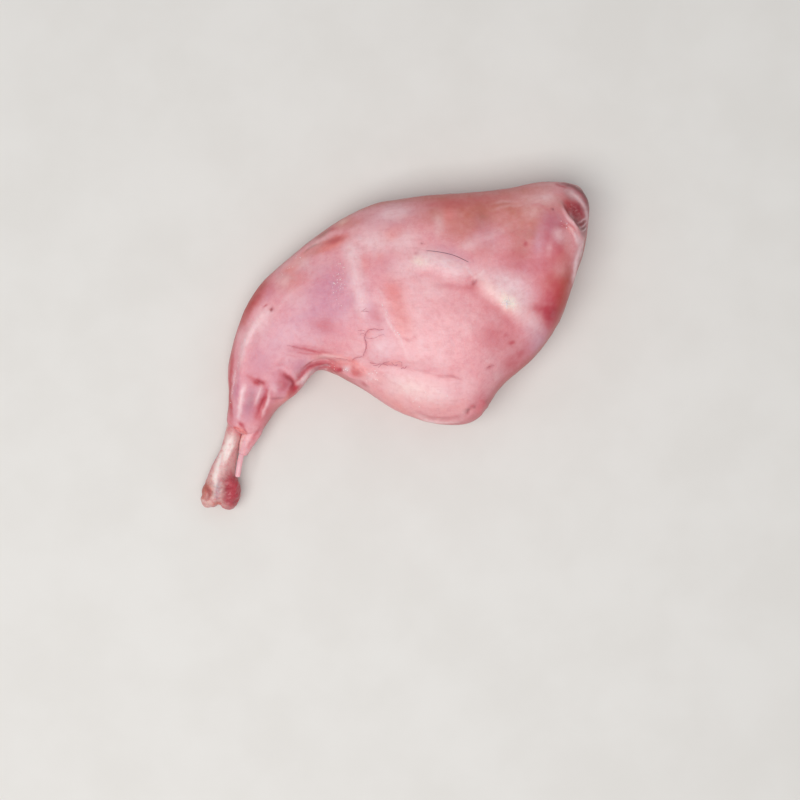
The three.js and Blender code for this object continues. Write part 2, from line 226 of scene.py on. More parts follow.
# Swells of the bone's joint end, as the meat's.
BONE_SWELLS = (
    (7.6, 5, 4, 2.6, 70, 1.4),
    (1.3, 3.2, 4.5, 2.4, 70, 1.3),
    (4.3, 1, 6, 1.5, 72, -1.4),
    (1, 6.2, 2.2, 1.4, 60, 0.5),
    (0.2, 3.2, 1.6, 1.1, 30, 0.5),
    (8.3, 7.8, 2.2, 1.5, 100, 0.5),
    (7.3, 3.5, 2, 1.2, 20, 0.6),
    (3.5, 6, 4, 0.9, 78, -0.6),
    (6.3, 6.6, 3.6, 0.8, 100, -0.45),
    (5.2, 2, 1.4, 1, 0, -0.5),
    (7.5, 1, 1.5, 1, 80, 0.8),
    (8.8, 3.8, 1.4, 1, 60, 0.3),
)

# Tints of the meat's upper side. Blots: tint, strength, x and y, two half lengths in mm and the turn.
# Strokes: tint, strength, half width in mm, then the path. Two of the names aren't colours: spare is where
# the sides keep the rim's colour, partly painted shade, off, and pebbled is where the wet surface is lumpy.
MEAT_BLOTS = (
    ("spare", 0.8, 57.7, 30.5, 26, 6, -8),
    ("spare", 0.6, 25.7, 36.5, 22, 5, 45),
    ("spare", 0.6, 13.8, 21.2, 8, 6, 60),
    ("spare", 0.35, 7.4, 40.1, 3, 14, -4),
    # wet and pebbled
    ("pebbled", 0.9, 39.5, 42.4, 9, 2.6, -18),
    ("pebbled", 0.8, 78.2, 61.8, 3.4, 2.2, -40),
    ("pebbled", 0.5, 35.8, 67.9, 4, 9, 0),
    ("pebbled", 0.6, 95.2, 89.4, 4.4, 2.2, -60),
    ("pebbled", 0.7, 93.1, 84.5, 4, 1.8, -55),
    ("pebbled", 0.4, 25.7, 38.3, 5, 1.6, 45),
    ("pebbled", 0.35, 57.5, 73.8, 7, 2.4, -8),
    ("pebbled", 0.5, 9.4, 38.3, 6, 1.2, 80),
    ("pebbled", 0.6, 10.4, 24.3, 3, 1.4, -30),
    ("pebbled", 0.5, 15.4, 38.5, 3, 2, -20),
    # the front of the thigh
    ("tan", 0.85, 71, 90.2, 26, 6, 2),
    ("tan", 0.6, 67.4, 84.7, 9, 7, 0),
    ("tan", 0.66, 83.7, 87.4, 15, 9, 10),
    ("tan", 0.2, 52.7, 89.3, 15, 6, 10),
    ("flush", 0.18, 64, 91.6, 9, 2.6, 0),
    ("tan", 0.4, 64.1, 92.4, 9, 3, 0),
    ("amber", 0.45, 63.7, 88.4, 2.4, 4, 0),
    ("bruise", 0.15, 71.7, 86.7, 4, 5, 0),
    ("film", 0.28, 61.2, 85.9, 2.2, 4.6, 0),
    ("film", 0.2, 84.3, 92.9, 6, 3, 0),
    ("tan", 0.3, 72, 77.8, 6, 4, 0),
    ("tan", 0.3, 81.5, 77.7, 5, 4, 0),
    ("bruise", 0.08, 81.5, 77.7, 5, 4, 0),
    ("bruise", 0.08, 91.6, 80.7, 4, 4, 0),
    ("film", 0.22, 84.2, 88.6, 5, 3, 10),
    ("film", 0.35, 88.3, 93, 3.6, 2.8, 0),
    ("flush", 0.25, 68.7, 93.2, 18, 3, 3),
    ("flush", 0.3, 89.6, 85.4, 4.4, 4.4, 0),
    ("violet", 0.6, 89.4, 85.5, 4.4, 5, 0),
    ("bruise", 0.12, 89.6, 84.8, 5, 6, 0),
    ("film", 0.3, 90.8, 81.9, 2, 3, 10),
    ("film", 0.25, 88.3, 77.4, 1.4, 3, -10),
    ("flush", 0.4, 91.1, 77.7, 2, 3, 10),
    ("tan", 0.3, 83, 82.2, 6, 4.5, 0),
    ("bruise", 0.12, 83, 82.2, 5, 4, 0),
    ("flush", 0.25, 79, 75.9, 6, 2.4, 10),
    ("violet", 0.5, 86, 78.5, 2.4, 7, -5),
    ("film", 0.12, 86.3, 79.2, 1.8, 5.5, -5),
    ("flush", 0.3, 88.1, 79.8, 3, 6, 0),
    ("violet", 0.35, 88.7, 80.8, 4, 6, 0),
    ("violet", 0.35, 49.4, 89, 12, 5, 15),
    ("film", 0.45, 49.9, 89, 8, 3.6, 10),
    ("film", 0.25, 68, 78.6, 3.4, 2, 20),
    ("amber", 0.5, 49.2, 82.2, 3.4, 2.6, 0),
    ("amber", 0.25, 46.8, 75, 4.2, 3.2, 0),
    ("violet", 0.25, 47.7, 74, 5, 5, 0),
    ("amber", 0.35, 42.8, 73.2, 2.4, 3.6, 0),
    # the front fold
    ("amber", 0.85, 33.2, 79.3, 6.5, 1.9, 20),
    ("tan", 0.4, 31.7, 78.7, 6, 1.7, 22),
    ("tan", 0.6, 31.7, 83.5, 4, 1.6, 33),
    ("bruise", 0.25, 31.5, 83.4, 3.6, 1.3, 33),
    ("flush", 0.4, 35.2, 81.1, 4, 1.2, 17),
    ("rim", 0.2, 35.2, 81.4, 5, 1.6, 17),
    ("amber", 0.95, 35, 81, 5, 1.8, 17),
    ("flush", 0.5, 34.1, 84.8, 1.8, 1, 20),
    ("fat", 0.2, 36.6, 86.8, 2.6, 1.1, 30),
    ("tan", 0.7, 36.9, 86.9, 4.4, 2, 30),
    ("tan", 0.45, 40.3, 86.5, 6, 1.7, 25),
    # the knee
    ("flush", 0.4, 13.3, 63.7, 10, 3.6, 58),
    ("amber", 0.4, 14.5, 66, 9, 3, 55),
    ("film", 0.28, 21.9, 69.3, 3.6, 2.6, 20),
    ("tan", 0.4, 22.4, 69, 5, 3.6, 25),
    ("amber", 0.85, 23.4, 72.7, 3, 1.8, 40),
    ("amber", 0.6, 25.7, 75.7, 4.4, 2.2, 40),
    ("flush", 0.14, 17.8, 65.8, 4.4, 5, -30),
    ("violet", 0.25, 17.8, 65.8, 4, 4.6, -30),
    ("amber", 0.2, 25.8, 68.9, 5.5, 4, 40),
    ("tan", 0.15, 25.8, 68.9, 5, 4, 40),
    ("film", 0.3, 16.2, 56.8, 3.4, 6, -45),
    ("violet", 0.36, 15.2, 41.2, 11, 17, -10),
    ("violet", 0.4, 16.3, 44.9, 4, 5, 0),
    ("flush", 0.12, 14.7, 40.6, 10, 14, -10),
    ("film", 0.2, 26.2, 63.1, 5, 5, 0),
    ("film", 0.2, 25.9, 74.8, 4, 3, 20),
    ("violet", 0.35, 19.6, 49.9, 5, 5, 0),
    ("violet", 0.2, 23.4, 44.8, 4, 3, 0),
    ("violet", 0.75, 33.8, 63.7, 13, 12, 30),
    ("violet", 0.5, 25.5, 55, 13, 9, 30),
    ("film", 0.14, 22.9, 52.6, 12, 8, 20),
    ("film", 0.45, 39.2, 77.6, 3.2, 3.6, 0),
    ("flush", 0.32, 32.4, 55.5, 5.2, 2.6, -12),
    # the middle and the sinew
    ("film", 0.5, 45.1, 80.8, 5, 5, 0),
    ("film", 0.42, 52.7, 80.1, 6, 4, 0),
    ("film", 0.3, 51.4, 71.8, 5, 4, 0),
    ("film", 0.22, 56.5, 46.9, 7, 5, 0),
    ("violet", 0.2, 47.7, 55.4, 4, 5, 0),
    ("flush", 0.12, 70.5, 59.1, 9, 8, 0),
    ("violet", 0.45, 44.1, 59.1, 3, 6, 15),
    ("flush", 0.35, 45.7, 57.9, 2.2, 4, 15),
    ("film", 0.35, 46.9, 49.2, 5, 5, 0),
    ("violet", 0.25, 47.4, 48.8, 5, 5, 0),
    ("film", 0.15, 58.9, 55.5, 20, 15, 0),
    ("film", 0.2, 56.4, 65.5, 6, 4, 0),
    ("film", 0.5, 80.7, 66.1, 7.4, 5, -32),
    ("flush", 0.3, 87, 69.2, 6, 8, 0),
    ("flush", 0.25, 86.7, 63.6, 4, 4, 0),
    ("tan", 0.3, 88, 67.4, 4, 4, 0),
    ("violet", 0.25, 73.2, 81.1, 8, 5, 0),
    ("film", 0.4, 76.7, 68.4, 6, 3, -38),
    ("film", 0.3, 79.2, 64.9, 6, 2.4, -38),
    ("violet", 0.3, 80.7, 67.3, 10, 6, -32),
    ("film", 0.32, 84.9, 55.6, 4.6, 3.2, -35),
    ("violet", 0.4, 85.8, 54.3, 5, 3, 0),
    ("flush", 0.5, 69.3, 66.7, 4, 3, -30),
    ("violet", 0.3, 64.5, 76.3, 8, 3, -25),
    # A painted glint on the sinew's bright band, in the fat's colour.
    ("fat", 0.95, 78.5, 62.1, 3, 2, -42),
    # A painted glint at the upper sinew's left end, in the fat's colour.
    ("fat", 0.5, 56.5, 73.8, 3, 1.8, -10),
    ("flush", 0.3, 83.2, 72.9, 9, 3.4, 5),
    ("violet", 0.35, 83.7, 72.6, 8, 4, 10),
    ("tan", 0.5, 83.7, 73.2, 9, 5, 10),
    ("flush", 0.3, 89.3, 75.9, 7, 7, 70),
    ("tan", 0.5, 91.3, 73.9, 9, 4, 80),
    ("tan", 0.75, 91, 66.7, 3.6, 7, 10),
    ("flush", 0.45, 90.6, 66.3, 3.2, 7, 8),
    ("tan", 0.9, 92.5, 62.1, 2.8, 6.4, 20),
    ("film", 0.15, 91.6, 71.8, 3, 3, 0),
    ("flush", 0.94, 89.5, 61.1, 7.4, 5.2, 62),
    ("blood", 0.25, 89.6, 59.3, 3.4, 3.4, 0),
    ("flush", 0.75, 86.2, 60.7, 4, 1.7, 5),
    ("flush", 0.85, 89.8, 56.9, 3.2, 5, -10),
    ("flush", 0.5, 89.4, 53.1, 2.4, 3, -20),
    ("violet", 0.4, 89.7, 57.9, 2.6, 3.4, 0),
    ("flush", 0.34, 76.3, 51.4, 11, 7, -30),
    ("flush", 0.5, 80.2, 45.3, 8, 3, 45),
    ("violet", 0.9, 87.7, 50.5, 7, 4.4, 40),
    ("film", 0.12, 87.1, 51.1, 5, 3, 40),
    # the belly
    ("amber", 0.36, 58, 32.2, 20, 4, -8),
    ("film", 0.4, 58.5, 35.2, 16, 6, -8),
    ("film", 0.25, 50.9, 39.4, 8, 4, -25),
    ("fat", 0.2, 54.5, 37, 9, 4, -10),
    ("flush", 0.4, 71.2, 32.8, 5, 3, 60),
    # the hollow of the knee
    ("flush", 0.2, 28.5, 48.4, 10, 1.6, -5),
    ("flush", 0.5, 34.5, 42.5, 3.6, 1.6, -10),
    ("amber", 0.7, 34.3, 42.5, 4, 1.8, -10),
    ("flush", 0.8, 36, 42.5, 1.6, 0.8, -10),
    ("amber", 0.9, 40.2, 41.9, 3, 1.6, -20),
    ("flush", 0.4, 40.2, 41.7, 2.6, 1.3, -20),
    ("film", 0.35, 44.4, 40.3, 3, 2.2, -25),
    ("flush", 0.5, 42.3, 38.2, 2, 0.9, -35),
    ("amber", 0.5, 44.4, 40.6, 6, 2.2, -22),
    # A painted highlight on a wet lump in the hollow, in the film's colour.
    ("film", 0.6, 38, 42.7, 1.5, 1.2, 0),
    ("bruise", 0.25, 38, 42.5, 1.1, 0.9, 0),
    ("violet", 0.45, 25.9, 43.7, 4, 3, 45),
    # the calf
    ("violet", 0.9, 13.1, 32.8, 6.4, 2.4, 74),
    ("flush", 0.65, 15.9, 29.5, 3, 4, -15),
    ("flush", 0.15, 18.5, 33.4, 3, 4, 0),
    ("violet", 0.3, 10.2, 29.8, 4, 5, 0),
    ("bruise", 0.2, 13.1, 33.4, 5.4, 1.8, 74),
    ("violet", 0.5, 9.6, 36.5, 4.6, 1.8, 80),
    ("flush", 0.95, 15.4, 38.8, 2.7, 1.3, -15),
    ("flush", 0.5, 15.5, 38.7, 1.8, 0.9, -20),
    ("blood", 0.35, 15.6, 38.8, 1.8, 0.8, -20),
    ("flush", 0.4, 13.4, 40.3, 2.2, 1, -35),
    ("violet", 0.75, 21.2, 38, 4, 3.6, 40),
    ("flush", 0.5, 21.4, 38.3, 3, 2.8, 40),
    ("bruise", 0.15, 21.2, 38, 2, 1.8, 0),
    ("film", 0.3, 19.3, 36.7, 1.4, 2.2, 0),
    ("amber", 0.35, 18.4, 31, 4.5, 1.4, 48),
    # the cuff
    ("flush", 0.9, 10.4, 25.7, 1.5, 1, -50),
    ("flush", 0.3, 7.7, 26.1, 2.4, 1.6, -60),
    ("film", 0.25, 11.2, 20.6, 3, 2, 60),
    # the cut at the rump
    ("flush", 0.7, 94.5, 90.9, 3.6, 2.4, -58),
    ("rim", 0.3, 94, 91.2, 3, 1.8, -60),
    ("bruise", 0.35, 94.3, 93.4, 3.4, 2, -48),
    ("film", 0.25, 94.8, 93.7, 3, 1.2, -48),
    ("bruise", 0.3, 96.5, 93.1, 1.2, 1, -48),
    ("blood", 0.98, 96, 89.8, 2.9, 2.1, -62),
    ("blood", 0.6, 95.7, 90, 4, 2.6, -62),
    ("bruise", 0.6, 96, 88.5, 3.4, 2.2, -62),
    ("bruise", 0.95, 97.3, 85.1, 4.4, 2.3, -72),
    ("blood", 0.3, 96.6, 85.7, 2, 1.4, -60),
    ("flush", 0.7, 91.5, 84.4, 1.8, 1.7, 0),
    ("amber", 0.8, 94.1, 83.9, 1.6, 1.4, -50),
    ("film", 0.4, 96, 80.9, 2.6, 1.4, -65),
    # specks
    ("blood", 0.6, 18.8, 60.5, 0.7, 0.6, 0),
    ("flush", 0.6, 18.8, 60.5, 1, 0.8, 0),
    ("flush", 0.6, 17.3, 61.7, 0.9, 0.5, 30),
    ("flush", 0.6, 82.6, 79.2, 0.8, 1.1, 0),
    ("flush", 0.5, 55.5, 76.2, 0.8, 0.7, 0),
    ("blood", 0.4, 56.8, 79.4, 0.6, 0.4, 60),
    ("blood", 0.5, 89.4, 89.4, 0.5, 0.6, 0),
    ("flush", 0.4, 73.6, 43.2, 1.6, 0.7, 30),
    ("flush", 0.6, 79.4, 50.3, 1.2, 0.7, 20),
    ("flush", 0.35, 78, 52.5, 1, 0.8, 0),
    ("blood", 0.5, 68.4, 30.2, 1, 0.9, 60),
    ("blood", 0.35, 70.2, 31.3, 0.8, 0.6, 60),
    ("flush", 0.6, 82, 98, 1, 0.8, 0),
)
MEAT_STROKES = (
    # the seam across the thigh and the strand beside it
    ("film", 0.45, 3.4, ((38.8, 80), (39.7, 74.7), (40.5, 69), (41.6, 63), (42.3, 56.6))),
    ("film", 0.18, 1.6, ((39.1, 79.1), (40.1, 73.8), (40.7, 68.1), (41.9, 61.8), (42.4, 57.7))),
    ("film", 0.3, 1.6, ((39.8, 82), (42.1, 80.5), (45.3, 79.3))),
    ("film", 0.28, 0.6, THIGH_STRAND),
    ("amber", 0.7, 3.4, ((49.2, 68.5), (50.4, 62.6), (51.7, 57.4), (53.2, 52.2))),
    ("flush", 0.15, 3, ((49.2, 67.9), (50.4, 62.6), (51.7, 57.4), (53.2, 52.5))),
    ("flush", 0.4, 0.5, ((51.4, 52.1), (52.9, 51.2), (54.2, 51.1), (55.5, 52.5))),
    # the sinew: pale film and fat along its bright band, partly its own colour, partly a painted highlight
    ("film", 0.6, 4, ((52.9, 74.6), (59.1, 74.5), (64, 72.2), (68.6, 69.9))),
    ("film", 0.5, 3.8, ((70.7, 71.2), (73.9, 66.3), (77.5, 62.9), (81.4, 60), (83.7, 57))),
    ("fat", 0.14, 2.2, ((71.2, 69.4), (74.4, 65.5), (78, 62.1), (81.7, 58.6))),
    ("amber", 0.55, 3, ((70.5, 68.2), (73.4, 64.6), (76.9, 61.3), (80.3, 58.5))),
    ("flush", 0.28, 2.4, ((69.3, 66.1), (72.3, 62.4), (75.3, 59.7), (78.3, 56.8), (80.9, 54))),
    ("flush", 0.35, 1.4, ((60.4, 66.8), (64.5, 66.6), (68.8, 66.2))),
    ("film", 0.35, 0.7, ((66.8, 73.8), (68.5, 71.3), (70.1, 69.1))),
    ("film", 0.35, 0.7, ((72.6, 72), (71.2, 70), (70, 68.2))),
    ("flush", 0.8, 0.8, ((69.3, 67), (69.8, 68), (70.5, 69.1))),
    ("blood", 0.25, 0.5, ((69.3, 67.1), (69.8, 68), (70.2, 68.8))),
    # the front
    ("film", 0.16, 1.7, FRONT_FILM),
    ("film", 0.15, 0.8, ((74.3, 91.6), (77.6, 92.4), (82.1, 92.4))),
    ("film", 0.15, 0.8, ((74.3, 89.3), (78.7, 90.9), (82.8, 91.1))),
    ("flush", 0.3, 0.7, ((84, 91.4), (86.7, 90.6), (88.7, 88.6))),
    ("tan", 0.6, 0.9, ((26.1, 76.5), (28.7, 79.3), (31, 80.7), (33.9, 81))),
    ("bruise", 0.3, 0.4, ((26.9, 77.6), (28.7, 79.3), (30.5, 80.4))),
    ("film", 0.3, 0.8, ((27.5, 78.5), (30.5, 80.9), (33.1, 81.8))),
    ("film", 0.1, 1, KNEE_SEAM),
    ("film", 0.5, 1.4, ((18.1, 60.9), (14.6, 56), (11.6, 49.8), (10.7, 43.1))),
    ("film", 0.3, 0.8, ((16.2, 58.6), (14.4, 55.1), (12.9, 51.5))),
    # the hollow of the knee
    ("flush", 0.35, 0.6, ((22.6, 49.8), (24.6, 49.3), (27, 48.7), (29.6, 48.1), (32.2, 47.8), (34.7, 47.1))),
    ("flush", 0.3, 0.4, ((28, 48.5), (30.1, 47.9), (32.7, 47.6), (34.4, 47))),
    ("flush", 0.25, 0.4, ((25.5, 47.8), (27.5, 47.3), (29.9, 47.3), (32.4, 47.4))),
    ("flush", 0.15, 0.4, ((20.9, 47.5), (23.4, 46.7), (26.4, 46.6))),
    ("flush", 0.12, 0.4, ((23.4, 50.5), (27, 49.6), (30.6, 49.1))),
    # A painted highlight along the fold's ridge, in the film's colour.
    ("film", 0.35, 0.8, ((30.5, 46.6), (33.1, 46.8), (35.7, 46.3), (38.8, 45.1))),
    ("amber", 0.75, 1.1, ((29.5, 46.6), (33.1, 46.9), (35.9, 46.2), (39.6, 44.9), (41.8, 43.3))),
    ("flush", 0.4, 0.35, ((34.4, 46.2), (36.5, 45.7), (38.3, 45.4), (39.7, 44.8))),
    ("flush", 0.85, 1.1, ((24.8, 39.2), (27.2, 42.5), (29.3, 44), (32, 44.4), (34.3, 43.8))),
    ("flush", 0.3, 0.4, ((26.1, 42.8), (28.7, 44.6), (31.3, 45.3), (33.9, 45.1), (36.2, 44.2))),
    ("amber", 0.6, 1, ((33.1, 44.8), (35.4, 44.4), (38, 44.2), (40.7, 43))),
    ("film", 0.4, 0.45, ((30.9, 43.6), (32.5, 44.1), (33.8, 43.8))),
    ("film", 0.5, 0.5, ((32.1, 42.1), (33, 42.8))),
    ("amber", 0.9, 0.6, ((33.3, 44.5), (34.3, 43.5), (35.4, 43))),
    ("blood", 0.22, 0.5, ((25, 39.5), (27.2, 42.5), (29.3, 44.2), (32, 44.5), (34.9, 44.2))),
    ("violet", 0.8, 1.5, ((28.7, 40.4), (30, 42.1), (31.7, 43.1), (33.3, 43.4))),
    ("flush", 0.4, 1.3, ((28.7, 40.4), (30, 42.1), (31.7, 43.1), (33, 43.4))),
    ("bruise", 0.22, 1, ((28.7, 40.7), (30, 42.5), (31.7, 43.4))),
    ("blood", 0.45, 0.5, ((30.3, 41.6), (29.2, 40.4), (28.4, 39.4))),
    ("blood", 0.4, 0.4, ((30.9, 44), (32.5, 44), (33.6, 44.4))),
    ("blood", 0.3, 0.4, ((33.8, 42.5), (34.9, 42), (36.4, 42.1))),
    ("film", 0.5, 0.6, ((32.7, 41.9), (35.6, 39.6), (37.4, 38.4))),
    ("film", 0.98, 0.9, ((29, 42.2), (27.7, 40.9), (26.5, 39.5), (25.2, 38.1))),
    # A painted highlight on the calf's whitish edge strip, in the fat's colour.
    ("fat", 0.2, 0.5, ((28.5, 41.6), (27.4, 40.4), (26.5, 39.2))),
    ("flush", 0.5, 0.5, ((28, 42.6), (26.7, 41.3), (25.5, 39.8), (24.5, 38.6))),
    ("flush", 0.9, 0.9, ((25.5, 38), (24.5, 37.1), (23.5, 35.8))),
    ("amber", 0.8, 0.9, ((25.5, 37.7), (24, 36.2), (22.3, 34), (20.2, 31.6))),
    ("flush", 0.4, 0.7, ((25.5, 37.7), (24, 36.2), (22.7, 34.6))),
    ("flush", 0.4, 0.6, ((44.1, 44.3), (45.8, 43.9), (47.9, 44.1), (50.2, 43.5), (52.9, 43))),
    ("flush", 0.4, 0.6, ((42.3, 46.3), (42.8, 48), (43.1, 49.5), (42.6, 51.8), (43.6, 53.9), (46.4, 54.1))),
    ("flush", 0.25, 0.5, ((39.3, 45.3), (40.6, 46), (42, 46.3))),
    ("amber", 0.5, 0.7, ((46.6, 43.1), (48.4, 44.3), (50.7, 44.5), (51.7, 43.5))),
    ("flush", 0.3, 0.5, ((52.4, 42.9), (54.7, 42.1), (57.5, 41.7), (60.4, 40.9))),
    ("flush", 0.3, 0.7, ((59.9, 40.8), (62.1, 40.4), (64.4, 40.2), (67, 39.2))),
    ("blood", 0.12, 0.4, ((60.9, 40.6), (63.1, 40.3), (65.2, 39.9), (66.5, 39.3))),
    # the calf
    ("flush", 0.85, 1.1, ((17, 37.1), (17.3, 35.2), (16.6, 33.4), (16, 31.6), (14.6, 28.6))),
    ("flush", 0.25, 0.8, ((17, 35.5), (16.4, 33.1), (15.4, 30.4))),
    ("blood", 0.2, 0.6, ((17, 35.2), (16.4, 33.1), (15.7, 31))),
    ("flush", 0.8, 1, ((21.2, 41.3), (23.2, 40.1), (24.1, 38.6), (23.8, 37.1), (22.7, 34.6))),
    ("blood", 0.45, 0.7, ((21.7, 41), (23.3, 39.9), (24, 38.6), (23.7, 37.1))),
    ("film", 0.75, 1, ((11.8, 37.8), (11.1, 35.2), (10.3, 31), (9.8, 28))),
    ("film", 0.45, 0.7, ((16.2, 37.5), (15.2, 34.9), (14.3, 31.6))),
    ("film", 0.45, 0.7, SHANK_STRAND),
    ("film", 0.18, 0.5, SHIN_RIDGE),
    ("blood", 0.25, 0.5, CALF_CREASE),
    # the cuff and the flap
    ("amber", 0.9, 0.9, ((8.5, 24.8), (10.1, 24.2), (11.6, 23.2))),
    ("flush", 0.6, 0.6, ((10.4, 25.9), (11.1, 24.6), (11.8, 23.4))),
    ("amber", 0.5, 0.7, FLAP_EDGE),
    ("fat", 0.3, 0.4, FLAP_EDGE),
    ("flush", 0.4, 0.8, ((15.8, 26.1), (13.6, 22.2), (11.7, 18.8))),
    # the belly's low edge
    ("flush", 0.3, 0.9, ((55.5, 29.9), (59, 28.2), (63.1, 27.8), (67.7, 28.6))),
    ("film", 0.5, 1, ((55.5, 29), (58.5, 27.2), (62.6, 26.4), (67.2, 27))),
    ("flush", 0.4, 0.6, BELLY_NICK),
    ("flush", 0.5, 0.7, ((68.2, 28.9), (69.2, 31), (70.2, 32.5))),
    # the rims: redder, browner edges, partly the muscle's own colour, partly painted shade where they turn
    # from the light
    ("rim", 0.6, 1.6, ((98.1, 75.8), (97.1, 72.2), (95.9, 66.3))),
    ("bruise", 0.35, 1, ((98.2, 76.8), (97.1, 73.1), (96.4, 70.2))),
    ("rim", 0.35, 0.9, ((9.8, 54.6), (7.8, 45), (7.3, 35), (7.5, 28))),
    ("flush", 0.8, 1, ((8.6, 47.9), (8.1, 42.5), (7.7, 36.5), (7.8, 31), (7.9, 27.4))),
    ("rim", 0.6, 2, ((17.6, 70), (12.5, 63.7), (9.5, 56.1))),
    ("rim", 0.35, 2.2, ((16.1, 66), (12.7, 60.9), (10.3, 54.3))),
    ("flush", 0.3, 2.4, ((17.6, 69), (13.2, 62.7), (10.2, 56.1))),
    ("rim", 0.25, 2, ((38.6, 92.1), (51.4, 94.4), (64.2, 95.8), (76.9, 96.7), (88.3, 98.1))),
    ("tan", 0.8, 2.4, ((40.1, 91.7), (51.4, 93.5), (64.1, 94.4), (76.8, 95.4), (88.1, 96.6))),
    ("rim", 0.4, 1.4, ((94, 71.7), (93.6, 65.5), (92, 59.4), (89.9, 52))),
    ("rim", 0.6, 2.6, ((93.4, 74), (92.7, 66), (90.8, 59))),
    ("rim", 0.45, 2, ((88.4, 49), (82.6, 41.9), (77, 34.6))),
    ("flush", 0.6, 2.2, BELLY_RIM),
    ("amber", 0.5, 1.6, ((44.3, 37.6), (49.4, 32.8), (54.5, 28.9), (60.1, 26.8), (65.7, 26.2))),
    # the cut at the rump
    ("film", 0.7, 0.8, ((97.6, 81.5), (96.4, 77.7), (95.7, 74.6), (95.3, 71.1), (94.8, 66.5))),
    ("bruise", 0.2, 1.4, ((97.3, 81.5), (96.4, 77.7), (96, 74.3))),
    ("film", 0.7, 0.9, ((93.6, 95.8), (95.6, 94), (97.3, 91.5), (98.3, 89.2), (98.9, 86.3))),
    ("bruise", 0.6, 1.4, ((93.1, 95.8), (95.1, 94.6), (97.1, 91.9), (98.3, 89.2), (98.9, 86.3))),
    ("film", 0.4, 0.7, CUT_LIP),
    ("flush", 0.3, 0.8, ((92.3, 88.9), (92.9, 86.7), (94.2, 84.9), (95.4, 82.8))),
    ("film", 0.5, 0.5, CUT_SHRED),
    ("film", 0.5, 0.6, RUMP_FOLD),
    ("film", 0.5, 0.4, ((95.9, 85.7), (98.4, 87.8))),
    ("film", 0.5, 0.4, ((96.3, 84.2), (98.7, 86.3))),
    ("film", 0.5, 0.4, ((97.1, 83.3), (98.7, 84.6))),
    ("flush", 0.6, 0.7, ((90.9, 98.5), (92.2, 97.3), (94, 96.3))),
    ("bruise", 0.85, 1.5, ((92.2, 98.6), (94.4, 97.8), (96.4, 96.5), (98.1, 94.3), (98.9, 91), (99.1, 88.7))),
    ("flush", 0.6, 1, ((93.2, 98.1), (95.5, 96.8), (97.5, 94.5), (98.4, 91.6))),
    ("violet", 0.5, 1.6, ((92.7, 98.4), (95.5, 96.8), (97.7, 94.2), (98.9, 90.4))),
)
TINTS = ("tan", "violet", "amber", "flush", "rim", "bruise", "film", "fat", "blood")
# Tints that end where the sides begin.
TOP_TINTS = ("tan", "violet", "amber", "bruise", "film", "fat")
# What a mark leaves bare is taken to this power, as if it were laid on so many times.
TINT_DEPTH = 1.7
# What the sides get of two tints: the strength and the most. This redder brown is partly the muscle's own
# colour where the film is thin, partly painted shade where the sides turn away from the light.
SIDE_TINTS = {"rim": (0.85, 0.95), "flush": (0.5, 0.9)}
# The bone's tints, and its strokes as the meat's. Its white streak is partly the bare ridge's own paleness,
# partly a painted highlight.
BONE_TINTS = ("skin", "shade", "groove", "streak", "gristle", "blood", "flush")
BONE_MARKS = (
    ("skin", 0.7, 2.4, ((6.9, 25.5), (9, 24.3), (11, 22.5))),
    ("shade", 0.5, 1.5, ((5.2, 20.9), (3.1, 16), (1.4, 11.4), (0.4, 8.3))),
    ("skin", 0.8, 1.2, ((6.2, 22.4), (4.1, 18.7), (2.3, 13.5), (0.9, 9.9))),
    ("skin", 0.25, 1.8, ((10.5, 21.9), (9.1, 18.2), (7.8, 13.3), (6.8, 9.6))),
    ("shade", 0.2, 1.8, ((10, 21.8), (8.6, 18.2), (7, 13.3), (5.8, 9))),
    ("groove", 0.7, 1.2, ((4.5, 9.6), (4, 6), (3.7, 2.9))),
    ("streak", 0.9, 1.5, ((7.6, 22.4), (6.9, 20.6), (5.9, 17.3), (4.6, 13.6), (3.7, 10.2), (3.1, 7.2))),
    ("streak", 0.5, 0.6, ((8.6, 21.2), (7.6, 18.2), (6.5, 15.1))),
    ("streak", 0.3, 0.7, ((3.9, 10.8), (3.4, 7.8), (2.9, 4.2), (2.6, 2))),
    ("gristle", 0.95, 2.2, ((1.5, 8.1), (0.8, 5.6), (0.2, 2.9))),
    ("streak", 0.6, 0.6, ((1.5, 7.1), (1.1, 5.3), (1.3, 3.8))),
    ("streak", 0.35, 0.5, ((0.2, 3.8), (1, 2.6), (2.1, 2.3))),
    ("gristle", 0.5, 1, ((2.9, 7.2), (2.4, 4.8), (2.1, 2.3))),
    ("blood", 0.4, 0.8, ((1.5, 6.9), (2.3, 4.8), (1.6, 2.9))),
    ("gristle", 0.6, 1.2, ((2.6, 2), (4.2, 1.4), (5.2, 1.4))),
    ("blood", 0.85, 2.6, ((6.8, 10.8), (7.6, 7.5), (7.6, 4.5), (7, 0.7))),
    ("blood", 0.6, 2, ((8.8, 9.6), (9.3, 5.9), (7.9, 1))),
    ("groove", 0.3, 0.6, ((6.6, 4.8), (7.3, 3.2), (7, 1.4))),
    ("flush", 0.7, 3, ((7, 10.2), (8.1, 7.2), (8, 4.1), (7.2, 0.7))),
    ("blood", 0.6, 2.4, ((6.8, 8.4), (7.3, 5.1), (6.7, 2))),
    ("flush", 0.2, 0.8, ((5.7, 17.6), (5.2, 13.3), (4.5, 9))),
)
# The loose hair: its path, radius and lift in mm, how often its heights are averaged, and how many points
# are laid on the meat and rings drawn round them.
HAIR_PATH = ((57.9, 77.3), (61.4, 76.8), (65, 75.7), (68.6, 73.7))
HAIR_RADIUS = 0.08
HAIR_LIFT = 0.15
HAIR_STIFFNESS = 30
HAIR_POINTS = 24
HAIR_RINGS = 60
# Blood lines: the radius in mm, then the path. Their points jitter by up to so many mm, and they are sunk
# into the meat by that share of their radius.
BLOOD_SEED = 70
BLOOD_JITTER = 0.1
BLOOD_SINK = 0.2
